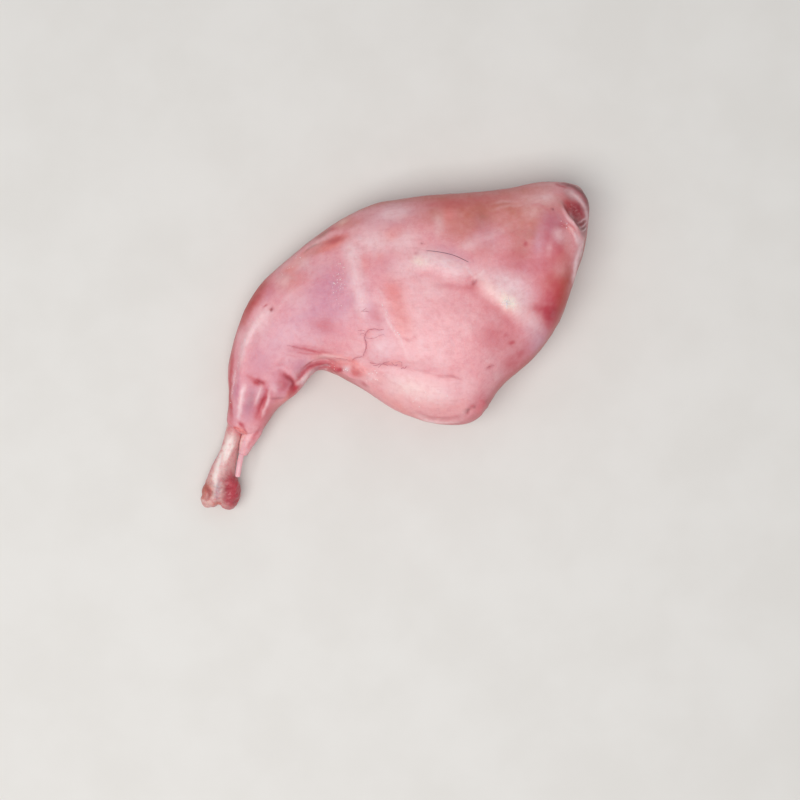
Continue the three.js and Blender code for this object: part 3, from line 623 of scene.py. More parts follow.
# Points laid on the meat for each place of a path, and rings for each of those.
BLOOD_POINTS = 10
BLOOD_RINGS = 5
BLOOD_LINES = (
    (0.1, ((39.3, 45.2), (40, 45.8), (40.8, 46.1), (42, 46.2))),
    (0.13, ((42.1, 46.3), (42.4, 47.2), (42.8, 48.2), (43, 49.4), (42.9, 50.7), (42.6, 51.4))),
    (0.12, ((42.6, 51.4), (42.7, 52.4), (43.1, 53.5), (43.9, 54.1), (45.2, 54.3), (46.2, 54), (47.4, 54.2))),
    (0.07, ((41, 53.9), (41.8, 54), (42.8, 53.7))),
    (0.07, ((41.5, 52.8), (42.2, 53.1), (42.7, 52.6))),
    (0.07, ((42.8, 51.7), (43.9, 51.6), (45.2, 51.7), (46.4, 52.4), (47.7, 52.6))),
    (0.08, ((41.7, 59.4), (42.3, 59.8), (43.1, 60.4))),
    (0.08, ((42.1, 59.4), (42.9, 59.5), (43.7, 59.3))),
    (0.1, ((43.8, 44.5), (44.6, 44.3), (45.5, 44.3))),
    (0.11, ((44.6, 43.6), (45.6, 43.7), (46.3, 44.1), (46.9, 44), (47.6, 44.5), (48.9, 44.7))),
    (0.1, ((46, 43), (46.4, 43.5), (46.9, 44), (47.6, 44), (48.5, 43.4))),
    (0.08, ((49.3, 44.5), (49.8, 43.9), (50.4, 43.5), (50.8, 44))),
    (0.12, ((51.6, 42.6), (52.1, 42.9), (52.7, 42.8), (53, 43.4))),
    (0.06, ((50.2, 44.4), (51.2, 44.7), (51.9, 44.3), (51.8, 43.2))),
    (0.06, ((22.6, 49.9), (24.1, 49.5), (25.8, 48.9), (27.5, 48.6))),
    (0.06, ((34.4, 46.2), (35.7, 45.9), (37, 45.7), (38.3, 45.4))),
    (0.07, ((73.1, 42.9), (73.9, 43.4), (75.2, 43.6))),
)
# The cuff's torn lip: its path, then half width, lift and half thickness in mm. Along its middle it keeps
# that share of its lift, and it tapers over that share of its length. The noise that frays its two edges
# is read that many metres to either side, so they differ. Its grid is rows by points around.
LIP_PATH = ((8.2, 25.1), (9.8, 24.3), (11.1, 23.5), (11.8, 22.5))
LIP_HALF = 0.65
LIP_LIFT = 0.15
LIP_THICKNESS = 0.12
LIP_HOLLOW = 0.3
LIP_TAPER = 0.1
EDGES_APART = 0.01
LIP_GRID = (100, 24)
# Beads of wet: how many, then the patch's x and y, two half lengths in mm and the turn, and the largest
# radius in mm. The smallest radius is a share of the largest, a bead's height of its radius, and the
# scatter of the half lengths. A bead's grid is rings by points around.
BEAD_SMALLEST = 0.4
BEAD_SCATTER = 0.6
BEAD_HEIGHT = 0.5
BEAD_GRID = (7, 10)
BEAD_SEED = 90
DROPLETS = (
    (36, 36, 68.9, 2.4, 7, 0, 0.22),
    (34, 78.2, 61.8, 2.2, 1.6, -40, 0.34),
    (5, 38, 42.7, 1.4, 1.1, 0, 0.26),
    (5, 34.3, 43.6, 3, 1.2, -10, 0.22),
    (12, 44.4, 40.6, 2.8, 2.4, -20, 0.24),
    (10, 56.8, 73.5, 3.5, 1.4, 0, 0.24),
    (10, 24.9, 74.9, 6, 1.2, 42, 0.22),
    (18, 49.2, 56.3, 10, 0.6, -62, 0.22),
    (16, 8.8, 38.3, 7, 0.3, 78, 0.22),
    (6, 92.8, 84.5, 3, 1.5, -50, 0.24),
    (12, 59, 34.9, 14, 4, 0, 0.24),
)
# Roughness, as noise: its height in mm or its strength, the size of its lumps in mm and its seed.
MEAT_WAVES = (0.35, 13, 3)
MEAT_LUMPS = (0.08, 2.6, 7)
FLAP_LUMPS = (0.3, 2.2, 17)
KNOB_LUMPS = (0.6, 2.2, 31)
KNOB_GRAIN = (0.25, 1.1, 33)
BONE_GRAIN = (0.1, 1.1, 33)
BONE_WARP = (0.4, 2.5, 41)
LIP_FRAY = (0.45, 1.6, 60)
SIDE_MOTTLE = (0.45, 11, 5)
# The sides' mottling is read this much off along Y for each height, so that it doesn't run straight down.
SIDE_SLANT = 1.5
# The same without the seeds. Each tint's mottling and each axis's warp count their seeds on from these.
MOTTLES = ((0.25, 4.5), (0.15, 1.5))
MOTTLE_SEEDS = (50, 70)
WARPS = ((0.4, 5), (0.35, 1.6))
STEEP_WARP = (3, 9)
WARP_SEEDS = (11, 23)
# How much of a mottled tint or side shows where the noise is zero.
MOTTLE_MIDDLE = 0.92
SIDE_MIDDLE = 0.8
# Where on the round of the meat and bone things come in: the upward share of the surface's normal at which
# they start, and at which they are whole.
RELIEF_TURN = (-0.05, 0.35)
WAVES_TURN = (-0.2, 0.3)
FLAT_TURN = (0.1, 0.6)
TOP_TURN = (0.0, 0.35)
ROUND_TURN = (-0.25, 0.1)
OFF_SIDE_TURN = (0.02, 0.6)
OFF_FLOOR_TURN = (-1.0, -0.2)
BONE_TURN = (-0.3, 0.4)
BONE_SKIN_TURN = (0.0, 0.7)
# The least skin on the bone's sides, and where its knob begins and is whole, as y places.
BONE_SKIN_LEAST = 0.6
KNOB_REACH = (13, 7)
# Lamps: name, place, width and height in metres, power in watts and colour.
LAMPS = (
    ("key_light", (-0.25, -0.32, 1.1), (1.0, 0.8), 10.8, (1.0, 0.985, 0.96)),
    ("fill_light", (0.5, 0.7, 0.9), (1.2, 1.2), 1.6, (1.0, 0.98, 0.96)),
)
LAMP_TARGET = (0, 0, 0.02)
AIR_COLOUR = (0.93, 0.96, 1.0, 1)
FLOOR_HALF = 3.0
# How high the leg's widest line lies, where the camera's view is measured.
WIDEST_LINE = 14 * MM
# The camera's sensor in mm, and how near it sees in metres.
SENSOR = 36
NEAREST = 0.01


def linear(code):
    """A colour's sRGB hex code as linear red, green and blue."""
    values = np.array([int(code[i : i + 2], 16) for i in (0, 2, 4)]) / 255
    return tuple(np.where(values <= 0.04045, values / 12.92, ((values + 0.055) / 1.055) ** 2.4))


# ---- shapes ----


def through(points, t):
    """The uniform Catmull-Rom curve through the rows of points, its ends reflected, for t from 0 to 1."""
    points = np.asarray(points, float)
    padded = np.vstack([2 * points[0] - points[1], points, 2 * points[-1] - points[-2]])
    u = np.clip(t, 0, 1) * (len(points) - 1)
    i = np.minimum(u.astype(int), len(points) - 2)
    w = (u - i)[:, None]
    a, b, c, d = (padded[i + k] for k in range(4))
    return 0.5 * (2 * b + (c - a) * w + (2 * a - 5 * b + 4 * c - d) * w**2 + (3 * b - a - 3 * c + d) * w**3)


def row_places(rows, ends):
    """Row places from 0 to 1 in three stretches. The outer two have an eighth of the rows each, and close
    up on the ends like the cosine of an even angle."""
    first, last, _ = ends
    quarter = np.linspace(0, np.pi / 2, max(rows // 8, 3), endpoint=False)
    return np.concatenate(
        [
            first * (1 - np.cos(quarter)),
            np.linspace(first, 1 - last, rows - 2 * len(quarter)),
            1 - last * (1 - np.cos(quarter[::-1])),
        ]
    )


def sweep(front, back, crown, keel, rows, over, under, ends=ROD_ENDS, fullness=1.0):
    """The closed surface of sections from a front to a back edge curve. At angle a the section stands at
    cos(a) of its half width from its middle, and at sin(a) to the power fullness of its crown above, or of
    its keel below. Near both ends everything shrinks along a superellipse. Returns rows by angles by 3."""
    s = row_places(rows, ends)
    angles = np.concatenate(
        [np.linspace(0, np.pi, over, endpoint=False), np.linspace(np.pi, 2 * np.pi, under, endpoint=False)]
    )
    first, last, blunt = ends
    from_end = np.clip(np.minimum(s / first, (1 - s) / last), 0, 1)
    share = (1 - (1 - from_end) ** blunt) ** (1 / blunt)
    f, b = through(front, s), through(back, s)
    up, down = (through(np.asarray(v, float)[:, None], s)[:, 0] for v in (crown, keel))
    half = (b - f) / 2 * share[:, None]
    points = ((f + b) / 2)[:, None, :] + half[:, None, :] * np.cos(angles)[None, :, None]
    lift = np.abs(np.sin(angles))[None, :] ** fullness * share[:, None]
    points[:, :, 2] += np.where(np.sin(angles)[None, :] > 0, up[:, None] * lift, -down[:, None] * lift)
    return points


def shell(points):
    """A grid of closed rings as vertices and quads, its first and last rings drawn into one point each and
    closed with fans. Faces point out. Returns vertices, loops and loop starts."""
    rows, around, _ = points.shape
    vertices = np.vstack([points[0].mean(0)[None], points[1:-1].reshape(-1, 3), points[-1].mean(0)[None]])
    ring = 1 + np.arange(rows - 2)[:, None] * around + np.arange(around)[None, :]
    after = np.roll(ring, -1, axis=1)
    quads = np.stack([ring[:-1], after[:-1], after[1:], ring[1:]], axis=-1).reshape(-1, 4)
    start = np.stack([np.zeros(around, int), after[0], ring[0]], axis=-1)
    end = np.stack([np.full(around, len(vertices) - 1), ring[-1], after[-1]], axis=-1)
    loops = np.concatenate([quads.ravel(), start.ravel(), end.ravel()])
    sizes = np.concatenate([np.full(len(quads), 4), np.full(2 * around, 3)])
    return vertices, loops, np.concatenate([[0], np.cumsum(sizes)[:-1]])


def normals_of(vertices, loops, starts):
    """Vertex normals: each face's cross product of its diagonals, or of a triangle's edges, summed at its
    corners and made of unit length."""
    sizes = np.diff(np.append(starts, len(loops)))
    a, b = vertices[loops[starts]], vertices[loops[starts + 1]]
    c, d = vertices[loops[starts + 2]], vertices[loops[starts + sizes - 1]]
    cross = np.where((sizes == 4)[:, None], np.cross(c - a, d - b), np.cross(b - a, c - a))
    face_of_loop = np.repeat(np.arange(len(starts)), sizes)
    total = np.stack([np.bincount(loops, cross[face_of_loop, k], len(vertices)) for k in range(3)], axis=-1)
    return total / np.maximum(np.linalg.norm(total, axis=1, keepdims=True), 1e-12)


def lattice_noise(x, y, size, seed):
    """Smooth noise from -1 to 1: random values on a square lattice of that size, blended by smoothstep."""
    table = np.random.default_rng(seed).uniform(-1, 1, (LATTICE, LATTICE))
    u, v = x / size, y / size
    i, j = np.floor(u).astype(int), np.floor(v).astype(int)
    fu, fv = u - i, v - j
    fu, fv = fu * fu * (3 - 2 * fu), fv * fv * (3 - 2 * fv)
    near, far = table[i % LATTICE, j % LATTICE], table[i % LATTICE, (j + 1) % LATTICE]
    near_next, far_next = table[(i + 1) % LATTICE, j % LATTICE], table[(i + 1) % LATTICE, (j + 1) % LATTICE]
    return (near * (1 - fu) + near_next * fu) * (1 - fv) + (far * (1 - fu) + far_next * fu) * fv


def rough_noise(x, y, height, size, seed):
    """Octaves of lattice noise, each half as large and half as strong as the one before, up to about that
    height in all. The size of the largest lumps is in mm."""
    octaves = [lattice_noise(x + k, y - k, size * MM / 2**k, seed + k) / 2**k for k in range(OCTAVES)]
    return height * sum(octaves) / sum(1 / 2**k for k in range(OCTAVES))


def in_plan(points, leg):
    """Percent places as metres from the origin: off the plan's middle, plus the shift."""
    points = np.asarray(points, float)
    return (points / PERCENT - 0.5) * (leg.length, leg.width) + (leg.shift_x, leg.shift_y)


def blot_weight(x, y, blot, leg):
    """An ellipse's weight: exp of minus the squared distance from its middle, in half lengths."""
    cx, cy, long, wide, turn = blot
    middle = in_plan((cx, cy), leg)
    c, s = math.cos(math.radians(turn)), math.sin(math.radians(turn))
    along = (x - middle[0]) * c + (y - middle[1]) * s
    across = (y - middle[1]) * c - (x - middle[0]) * s
    return np.exp(-((along / (long * MM)) ** 2) - (across / (wide * MM)) ** 2)


def stroke_weight(x, y, half, path, leg, steps=40, reach=3, least=0.02):
    """A path's weight: exp of minus the squared distance from it in half widths, fading out at both ends
    by the square root of the sine, from the least place on. Only points within reach, in half widths, are
    worked out."""
    line = through(in_plan(path, leg), np.linspace(0, 1, steps))
    low, high = line.min(0) - reach * half * MM, line.max(0) + reach * half * MM
    near = np.flatnonzero((x > low[0]) & (x < high[0]) & (y > low[1]) & (y < high[1]))
    weight = np.zeros(len(x))
    if len(near):
        distance = np.hypot(x[near, None] - line[None, :, 0], y[near, None] - line[None, :, 1])
        where = distance.argmin(1) / (steps - 1)
        fade = np.sqrt(np.sin(np.pi * np.clip(where, least, 1 - least)))
        weight[near] = fade * np.exp(-((distance.min(1) / (half * MM)) ** 2))
    return weight


def inked(marks, x, y, leg):
    """What all blots or strokes together leave bare of each tint at each place: the product of one minus
    each one's strength times its weight, to the power of the tints' depth."""
    left = {}
    for tint, strength, *mark in marks:
        weight = stroke_weight(x, y, *mark, leg) if len(mark) == 2 else blot_weight(x, y, mark, leg)
        left[tint] = left.get(tint, 1) * (1 - strength * weight) ** TINT_DEPTH
    return left


def smooth(value, low, high):
    """Smoothstep from 0 at low to 1 at high."""
    t = np.clip((value - low) / (high - low), 0, 1)
    return t * t * (3 - 2 * t)


def rod_edges(stations, leg, step=1e-3):
    """A rod's two edge curves and its crown and keel: half its width to either side of its middle line,
    square to its direction a step to either side."""
    table = np.array(stations, float)
    middle = in_plan(table[:, :2], leg)
    t = np.linspace(0, 1, len(table))
    along = through(middle, np.clip(t + step, 0, 1)) - through(middle, np.clip(t - step, 0, 1))
    along /= np.linalg.norm(along, axis=1, keepdims=True)
    across = np.stack([along[:, 1], -along[:, 0]], axis=-1) * table[:, 2:3] / 2 * MM
    z = table[:, 4:5] / PERCENT * leg.height
    depth = table[:, 3] / 2 * MM
    return np.hstack([middle + across, z]), np.hstack([middle - across, z]), depth, depth


def put(name, vertices, loops, starts, material, attributes=None, uv=None):
    """Makes a smooth mesh object from arrays, which rides on the part. The attributes are floats by name
    and the UV map is called along."""
    mesh = bpy.data.meshes.new(name)
    mesh.vertices.add(len(vertices))
    mesh.vertices.foreach_set("co", np.ascontiguousarray(vertices, np.float32).ravel())
    mesh.loops.add(len(loops))
    mesh.loops.foreach_set("vertex_index", loops.astype(np.int32))
    mesh.polygons.add(len(starts))
    mesh.polygons.foreach_set("loop_start", starts.astype(np.int32))
    mesh.update(calc_edges=True)
    mesh.validate()
    mesh.shade_smooth()
    for key, values in (attributes or {}).items():
        attribute = mesh.attributes.new(key, "FLOAT", "POINT")
        attribute.data.foreach_set("value", np.ascontiguousarray(values, np.float32))
    if uv is not None:
        layer = mesh.uv_layers.new(name="along")
        layer.data.foreach_set("uv", np.ascontiguousarray(uv[loops], np.float32).ravel())
    mesh.materials.append(material)
    piece = bpy.data.objects.new(name, mesh)
    bpy.context.scene.collection.objects.link(piece)
    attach(piece, "root")
    return piece


def along_uv(points):
    """UV of a shell's vertices in metres: the length along the rows and the way round the rings."""
    rows, around, _ = points.shape
    spine = points.mean(1)
    length = np.concatenate([[0], np.cumsum(np.linalg.norm(np.diff(spine, axis=0), axis=1))])
    girth = np.linalg.norm(np.diff(points, axis=1), axis=2).sum(1).mean()
    u = np.repeat(length[1:-1, None], around, 1).ravel()
    v = np.repeat(np.abs(np.linspace(-1, 1, around))[None, :] * girth / 2, rows - 2, 0).ravel()
    return np.stack([np.r_[0, u, length[-1]], np.r_[0, v, 0]], axis=-1)


def tube(path, radius, rows, around=8, taper=0.06):
    """A thin tube along a 3-D path of points: circles of that radius across it, closing up to its ends
    over the taper's share of its length."""
    path = np.asarray(path, float)
    t = row_places(rows, (taper, taper, 2))
    line = through(path, t)
    tangent = np.gradient(line, axis=0)
    tangent /= np.linalg.norm(tangent, axis=1, keepdims=True)
    side = np.cross((0, 0, 1), tangent)
    side /= np.maximum(np.linalg.norm(side, axis=1, keepdims=True), 1e-9)
    up = np.cross(tangent, side)
    angle = np.linspace(0, 2 * np.pi, around, endpoint=False)
    radii = np.sqrt(np.clip(np.minimum(t, 1 - t) / taper, 0, 1)) * radius
    ring = side[:, None] * np.cos(angle)[None, :, None] + up[:, None] * np.sin(angle)[None, :, None]
    return line[:, None] + ring * radii[:, None, None]


def meat_top():
    """The dressed meat's faces, for rays to meet."""
    mesh = bpy.data.objects["leg_meat_surface"].data
    return BVHTree.FromPolygons([v.co for v in mesh.vertices], [f.vertices for f in mesh.polygons])


def heights(spots, ground):
    """The height at which a ray straight down at each plan place in metres meets the meat, or NaN."""
    hits = [ground.ray_cast((*spot, SKY), (0, 0, -1))[0] for spot in spots]
    return np.array([hit.z if hit else np.nan for hit in hits])


def laid(spots, ground, lift=0.0):
    """Plan places in metres laid on the meat, plus lift in mm. A place beside the meat gets the height of
    the nearest one on it."""
    flat = spots.reshape(-1, 2)
    z = heights(flat, ground)
    on = np.flatnonzero(~np.isnan(z))
    for k in np.flatnonzero(np.isnan(z)):
        z[k] = z[on[np.hypot(*(flat[on] - flat[k]).T).argmin()]]
    return np.concatenate([spots, (z + lift * MM).reshape(spots.shape[:-1])[..., None]], axis=-1)


def settled(line, times=6):
    """A line laid on the meat with its heights averaged with their neighbours' that many times, but never
    below the meat, as a stiff hair or a dried line spans the smallest hollows."""
    z = line[:, 2]
    for _ in range(times):
        z = np.maximum(line[:, 2], np.concatenate([z[:1], (z[:-2] + 2 * z[1:-1] + z[2:]) / 4, z[-1:]]))
    return np.column_stack([line[:, :2], z])


def lip_sheet(ground, leg):
    """The cuff's lip, a thin sheet along its path. At place t along it and angle a round it, the point
    lies cos(a) half widths to the side, each edge frayed by noise, on the meat plus a lift that is lower in
    the middle than at the edges, and sin(a) half thicknesses up."""
    rows, around = LIP_GRID
    t = row_places(rows, (LIP_TAPER, LIP_TAPER, 2))
    line = through(in_plan(LIP_PATH, leg), t)
    along = np.gradient(line, axis=0)
    length = np.linalg.norm(along, axis=1).cumsum()[:, None]
    along /= np.linalg.norm(along, axis=1, keepdims=True)
    side = np.stack([-along[:, 1], along[:, 0]], axis=-1)
    angle = np.linspace(0, 2 * np.pi, around, endpoint=False)
    q = np.cos(angle)[None, :]
    fray = 1 + rough_noise(length + 0 * q, EDGES_APART * np.sign(q) + 0 * length, *LIP_FRAY)
    taper = np.sqrt(np.clip(np.minimum(t, 1 - t) / LIP_TAPER, 0, 1))[:, None]
    points = laid(line[:, None] + side[:, None] * (q * fray * taper * LIP_HALF * MM)[..., None], ground)
    hollow = LIP_HOLLOW + (1 - LIP_HOLLOW) * q**2
    rise = LIP_LIFT * hollow + LIP_THICKNESS * np.sin(angle)[None, :]
    points[..., 2] += rise * taper * MM
    return points


def droplet_shells(ground, leg):
    """Flat beads of wet: a unit sphere's grid squashed in height, once for each random place and radius of
    each patch that lies on the meat, its middle on the meat. Returns vertices, loops and loop starts."""
    rng = np.random.default_rng(BEAD_SEED)
    rings, around = BEAD_GRID
    middles, radii = [], []
    for count, x, y, long, wide, turn, largest in DROPLETS:
        spread = rng.normal(0, BEAD_SCATTER, (count, 2)) * (long, wide) * MM
        c, s = math.cos(math.radians(turn)), math.sin(math.radians(turn))
        middles.append(in_plan((x, y), leg) + spread @ np.array([[c, s], [-s, c]]))
        radii.append(rng.uniform(BEAD_SMALLEST, 1, count) * largest * MM)
    middles, radii = np.vstack(middles), np.concatenate(radii)
    z = heights(middles, ground)
    on = ~np.isnan(z)
    middles, radii = np.column_stack([middles, z])[on], radii[on]
    down = np.linspace(np.pi, 0, rings)[:, None]
    turn = np.linspace(0, 2 * np.pi, around, endpoint=False)[None, :]
    ball = [np.sin(down) * np.cos(turn), np.sin(down) * np.sin(turn), np.cos(down) * BEAD_HEIGHT + 0 * turn]
    unit, loops, starts = shell(np.stack(ball, axis=-1))
    many = np.arange(len(radii))[:, None]
    vertices = middles[:, None] + unit[None] * radii[:, None, None]
    return (
        vertices.reshape(-1, 3),
        (loops[None] + many * len(unit)).ravel(),
        (starts[None] + many * len(loops)).ravel(),
    )


# ---- materials ----

# A recipe's noises: name, coordinates, size of the lumps in mm, detail, roughness and stretch along the
# grain. Its layers: the noise and the range over which the layer comes in, how much of it at most, and its
# colour. A layer of a name alone is a tint by the mesh's attribute of that name. Then the noise and ranges
# of the roughness, the noises and depths in mm of the relief and of the wet film's relief, and the
# shader's settings.

# Raw muscle under silverskin, skinned but not trimmed: pink flesh seen through a thin, wet, slightly
# cloudy membrane. It gives a soft satin sheen and whitens the pink; where it's cut or thin the flesh is
# deep red. The fibres are drawn as bundles of about a millimetre, coarser than single muscle fibres, which
# no camera would see from here.
MEAT_RECIPE = {
    "noises": (
        ("cloud", "Object", 9, 3, 0.55, 1),
        ("lumps", "Object", 3.2, 3, 0.55, 1),
        ("speckle", "Object", 2.2, 3, 0.6, 1),
        ("grain", "Object", 0.6, 3, 0.6, 1),
        ("pebbles", "Object", 1.1, 2, 0.55, 1),
        ("fibres", "along", 0.9, 2, 0.5, 0.12),
    ),
    "layers": (
        ("cloud", 0.4, 0.7, 0.3, "film"),
        # Fine pale flecks of film: partly the film's own grain, partly painted glints of the wet surface.
        ("grain", 0.42, 0.78, 0.22, "film"),
        *TINTS,
        ("speckle", 0.4, 0.72, 0.16, "flush"),
        ("fibres", 0.5, 0.75, 0.08, "flush"),
    ),
    "roughness": ("cloud", 0.3, 0.7, 0.36, 0.48),
    "relief": (("lumps", 0.12), ("speckle", 0.06), ("grain", 0.03), ("pebbles", 0.5, "pebbled")),
    "wet_relief": (("speckle", 0.12), ("pebbles", 0.7, "pebbled")),
    "shader": {
        "IOR": 1.38,
        "Subsurface Weight": 0.3,
        "Subsurface Scale": 1.2 * MM,
        "Coat Weight": 0.25,
        "Coat Roughness": 0.2,
    },
}
# Fresh bone scraped of its meat: dense ivory, which shines softly, with a pink wet skin of tissue left on
# it that dulls it in patches, and bloody gristle at the joint. Its white streak is partly the bare ridge's
# own paleness, partly a painted highlight.
BONE_RECIPE = {
    "noises": (("patches", "Object", 2, 3, 0.55, 1), ("grain", "Object", 0.6, 4, 0.6, 1)),
    "layers": (
        ("patches", 0.4, 0.7, 0.4, "skin"),
        *BONE_TINTS,
        ("grain", 0.48, 0.72, 0.1, "streak"),
        ("patches", 0.5, 0.75, 0.3, "flush"),
    ),
    "roughness": ("grain", 0.3, 0.7, 0.36, 0.5),
    "relief": (("patches", 0.2), ("grain", 0.06)),
    "shader": {
        "IOR": 1.5,
        "Subsurface Weight": 0.35,
        "Subsurface Scale": 1.5 * MM,
        "Coat Weight": 0.2,
        "Coat Roughness": 0.2,
    },
}
# Tendon or loose film, torn when the meat was cut: parallel collagen threads, which look pearly and moist,
# with traces of blood between them. The hair and the lines of dried blood, too thin to show a finish of
# their own, have it in their colours.
SINEW_RECIPE = {
    "noises": (("blots", "Object", 2.2, 3, 0.55, 1), ("threads", "along", 0.35, 2, 0.5, 0.08)),
    "layers": (("blots", 0.42, 0.68, 0.6, "spot"), ("threads", 0.5, 0.75, 0.25, "spot")),
    "roughness": ("blots", 0.3, 0.7, 0.28, 0.42),
    "relief": (("threads", 0.08),),
    "shader": {
        "IOR": 1.4,
        "Subsurface Weight": 0.3,
        "Subsurface Scale": 0.8 * MM,
        "Coat Weight": 0.3,
        "Coat Roughness": 0.15,
    },
}
# Clear meat juice in beads: a pale pink base colour that is partly a painted glint, with a sharp glint of the
# coat on top.
BEAD_RECIPE = {
    "shader": {
        "IOR": 1.34,
        "Roughness": 0.08,
        "Subsurface Weight": 0.5,
        "Subsurface Scale": 0.6 * MM,
        "Coat Weight": 0.8,
        "Coat Roughness": 0.06,
    },
}
# A pale studio sheet, rolled out and matt, with faint clouds.
FLOOR_RECIPE = {
    "noises": (("cloud", "Object", 40, 3, 0.55, 1),),
    "layers": (("cloud", 0.3, 0.7, 0.1, "white"),),
    "shader": {"Roughness": 0.7},
}
# What every wet piece has: a weak mirror of its own, and red light that soaks in furthest.
SOFT = {"Specular IOR Level": 0.35, "Subsurface Radius": (1.0, 0.4, 0.3)}
# A recipe's ranges: where the noise is low and high, then the least and the most that come of it.
RANGES = ("From Min", "From Max", "To Min", "To Max")


def add(tree, kind, inputs=None, **settings):
    """Adds a node with its settings, and sets or links its inputs."""
    made = tree.nodes.new(kind)
    for key, value in settings.items():
        setattr(made, key, value)
    for key, value in (inputs or {}).items():
        if isinstance(value, bpy.types.NodeSocket):
            tree.links.new(value, made.inputs[key])
        else:
            made.inputs[key].default_value = value
    return made


def layered(tree, base, layers, noises, colours):
    """The base colour with each layer blended over it, by its noise or by the mesh's attribute."""
    colour = (*base, 1)
    for layer in layers:
        if isinstance(layer, str):
            share, tint = add(tree, "ShaderNodeAttribute", attribute_name=layer).outputs["Fac"], layer
        else:
            source, low, high, most, tint = layer
            ranges = {"Value": noises[source], **dict(zip(RANGES, (low, high, 0.0, most)))}
            share = add(tree, "ShaderNodeMapRange", ranges, interpolation_type="SMOOTHSTEP").outputs[0]
        mixed = {"Factor": share, 6: colour, 7: (*colours[tint], 1)}
        colour = add(tree, "ShaderNodeMix", mixed, data_type="RGBA").outputs[2]
    return colour


def embossed(tree, rows, noises):
    """The normal after each noise's relief in turn, of its depth in mm, everywhere or where the mesh's
    attribute of that name says."""
    inputs = {}
    for source, depth, *where in rows:
        strength = 1.0
        if where:
            strength = add(tree, "ShaderNodeAttribute", attribute_name=where[0]).outputs["Fac"]
        inputs.update({"Height": noises[source], "Distance": depth * MM, "Strength": strength})
        inputs["Normal"] = add(tree, "ShaderNodeBump", inputs).outputs[0]
    return inputs["Normal"]


def surface(name, recipe, base, colours=None):
    """A material of that base colour after a recipe."""
    material = bpy.data.materials.new(name)
    material.use_nodes = True
    tree = material.node_tree
    tree.nodes.clear()
    places = {
        "Object": add(tree, "ShaderNodeTexCoord").outputs["Object"],
        "along": add(tree, "ShaderNodeUVMap", uv_map="along").outputs[0],
    }
    noises = {}
    for key, space, size, detail, rough, stretch in recipe.get("noises", ()):
        mapping = {"Vector": places[space], "Scale": (stretch, 1, 1)}
        place = add(tree, "ShaderNodeMapping", mapping).outputs[0]
        inputs = {"Vector": place, "Scale": 1 / (size * MM), "Detail": detail, "Roughness": rough}
        noises[key] = add(tree, "ShaderNodeTexNoise", inputs).outputs["Fac"]
    colour = layered(tree, base, recipe.get("layers", ()), noises, colours)
    sockets = {**recipe["shader"], "Base Color": colour}
    if "Subsurface Weight" in sockets:
        sockets.update(SOFT)
    if "roughness" in recipe:
        source, *row = recipe["roughness"]
        ranges = {"Value": noises[source], **dict(zip(RANGES, row))}
        stepped = add(tree, "ShaderNodeMapRange", ranges, interpolation_type="SMOOTHSTEP")
        sockets["Roughness"] = stepped.outputs[0]
    for socket, rows in (("Normal", "relief"), ("Coat Normal", "wet_relief")):
        if rows in recipe:
            sockets[socket] = embossed(tree, recipe[rows], noises)
    shader = add(tree, "ShaderNodeBsdfPrincipled", sockets)
    add(tree, "ShaderNodeOutputMaterial", {"Surface": shader.outputs[0]}, location=(300, 0))
    return material


def leg_colours(context):
    """The leg's colours by name."""
    look = context.scene.leg_colours
    return {key: look.path_resolve(key)[:] for key in LegColours.__annotations__}


# ---- settings ----


# How lengths show in the panel.
METRES = {"unit": "LENGTH", "precision": 5}


def length_setting(name, description, default):
    """A length in metres, from zero up."""
    return FloatProperty(name=name, description=description, default=default, min=0, **METRES)


def place_setting(name, description, default):
    """A place along an axis in metres, to either side."""
    return FloatProperty(name=name, description=description, default=default, **METRES)


def colour_setting(name, description, code):
    """A colour, given as an sRGB hex code."""
    look = {"size": 3, "subtype": "COLOR", "min": 0, "max": 1}
    return FloatVectorProperty(name=name, description=description, default=linear(code), **look)


class LegSizes(bpy.types.PropertyGroup):
    """The leg's driving sizes, as the solids have them."""

    length: length_setting("Length", "Along X, from the ankle bone to the rump", 0.164)
    width: length_setting("Width", "Along Y, from the ankle bone to the front of the thigh", 0.139)
    height: length_setting("Thigh height", "How thick the thigh is, lying down", 0.042)
    shift_x: place_setting("Shift X", "From the plan's middle to the origin", 0.00062)
    shift_y: place_setting("Shift Y", "From the plan's middle to the origin", 0.00033)
    rows: IntProperty(name="Rows", description="Rings along the meat", default=384, min=40)
    over: IntProperty(name="Over", description="Points over the upper side", default=216, min=16)
    under: IntProperty(name="Under", description="Points under the lower side", default=38, min=8)


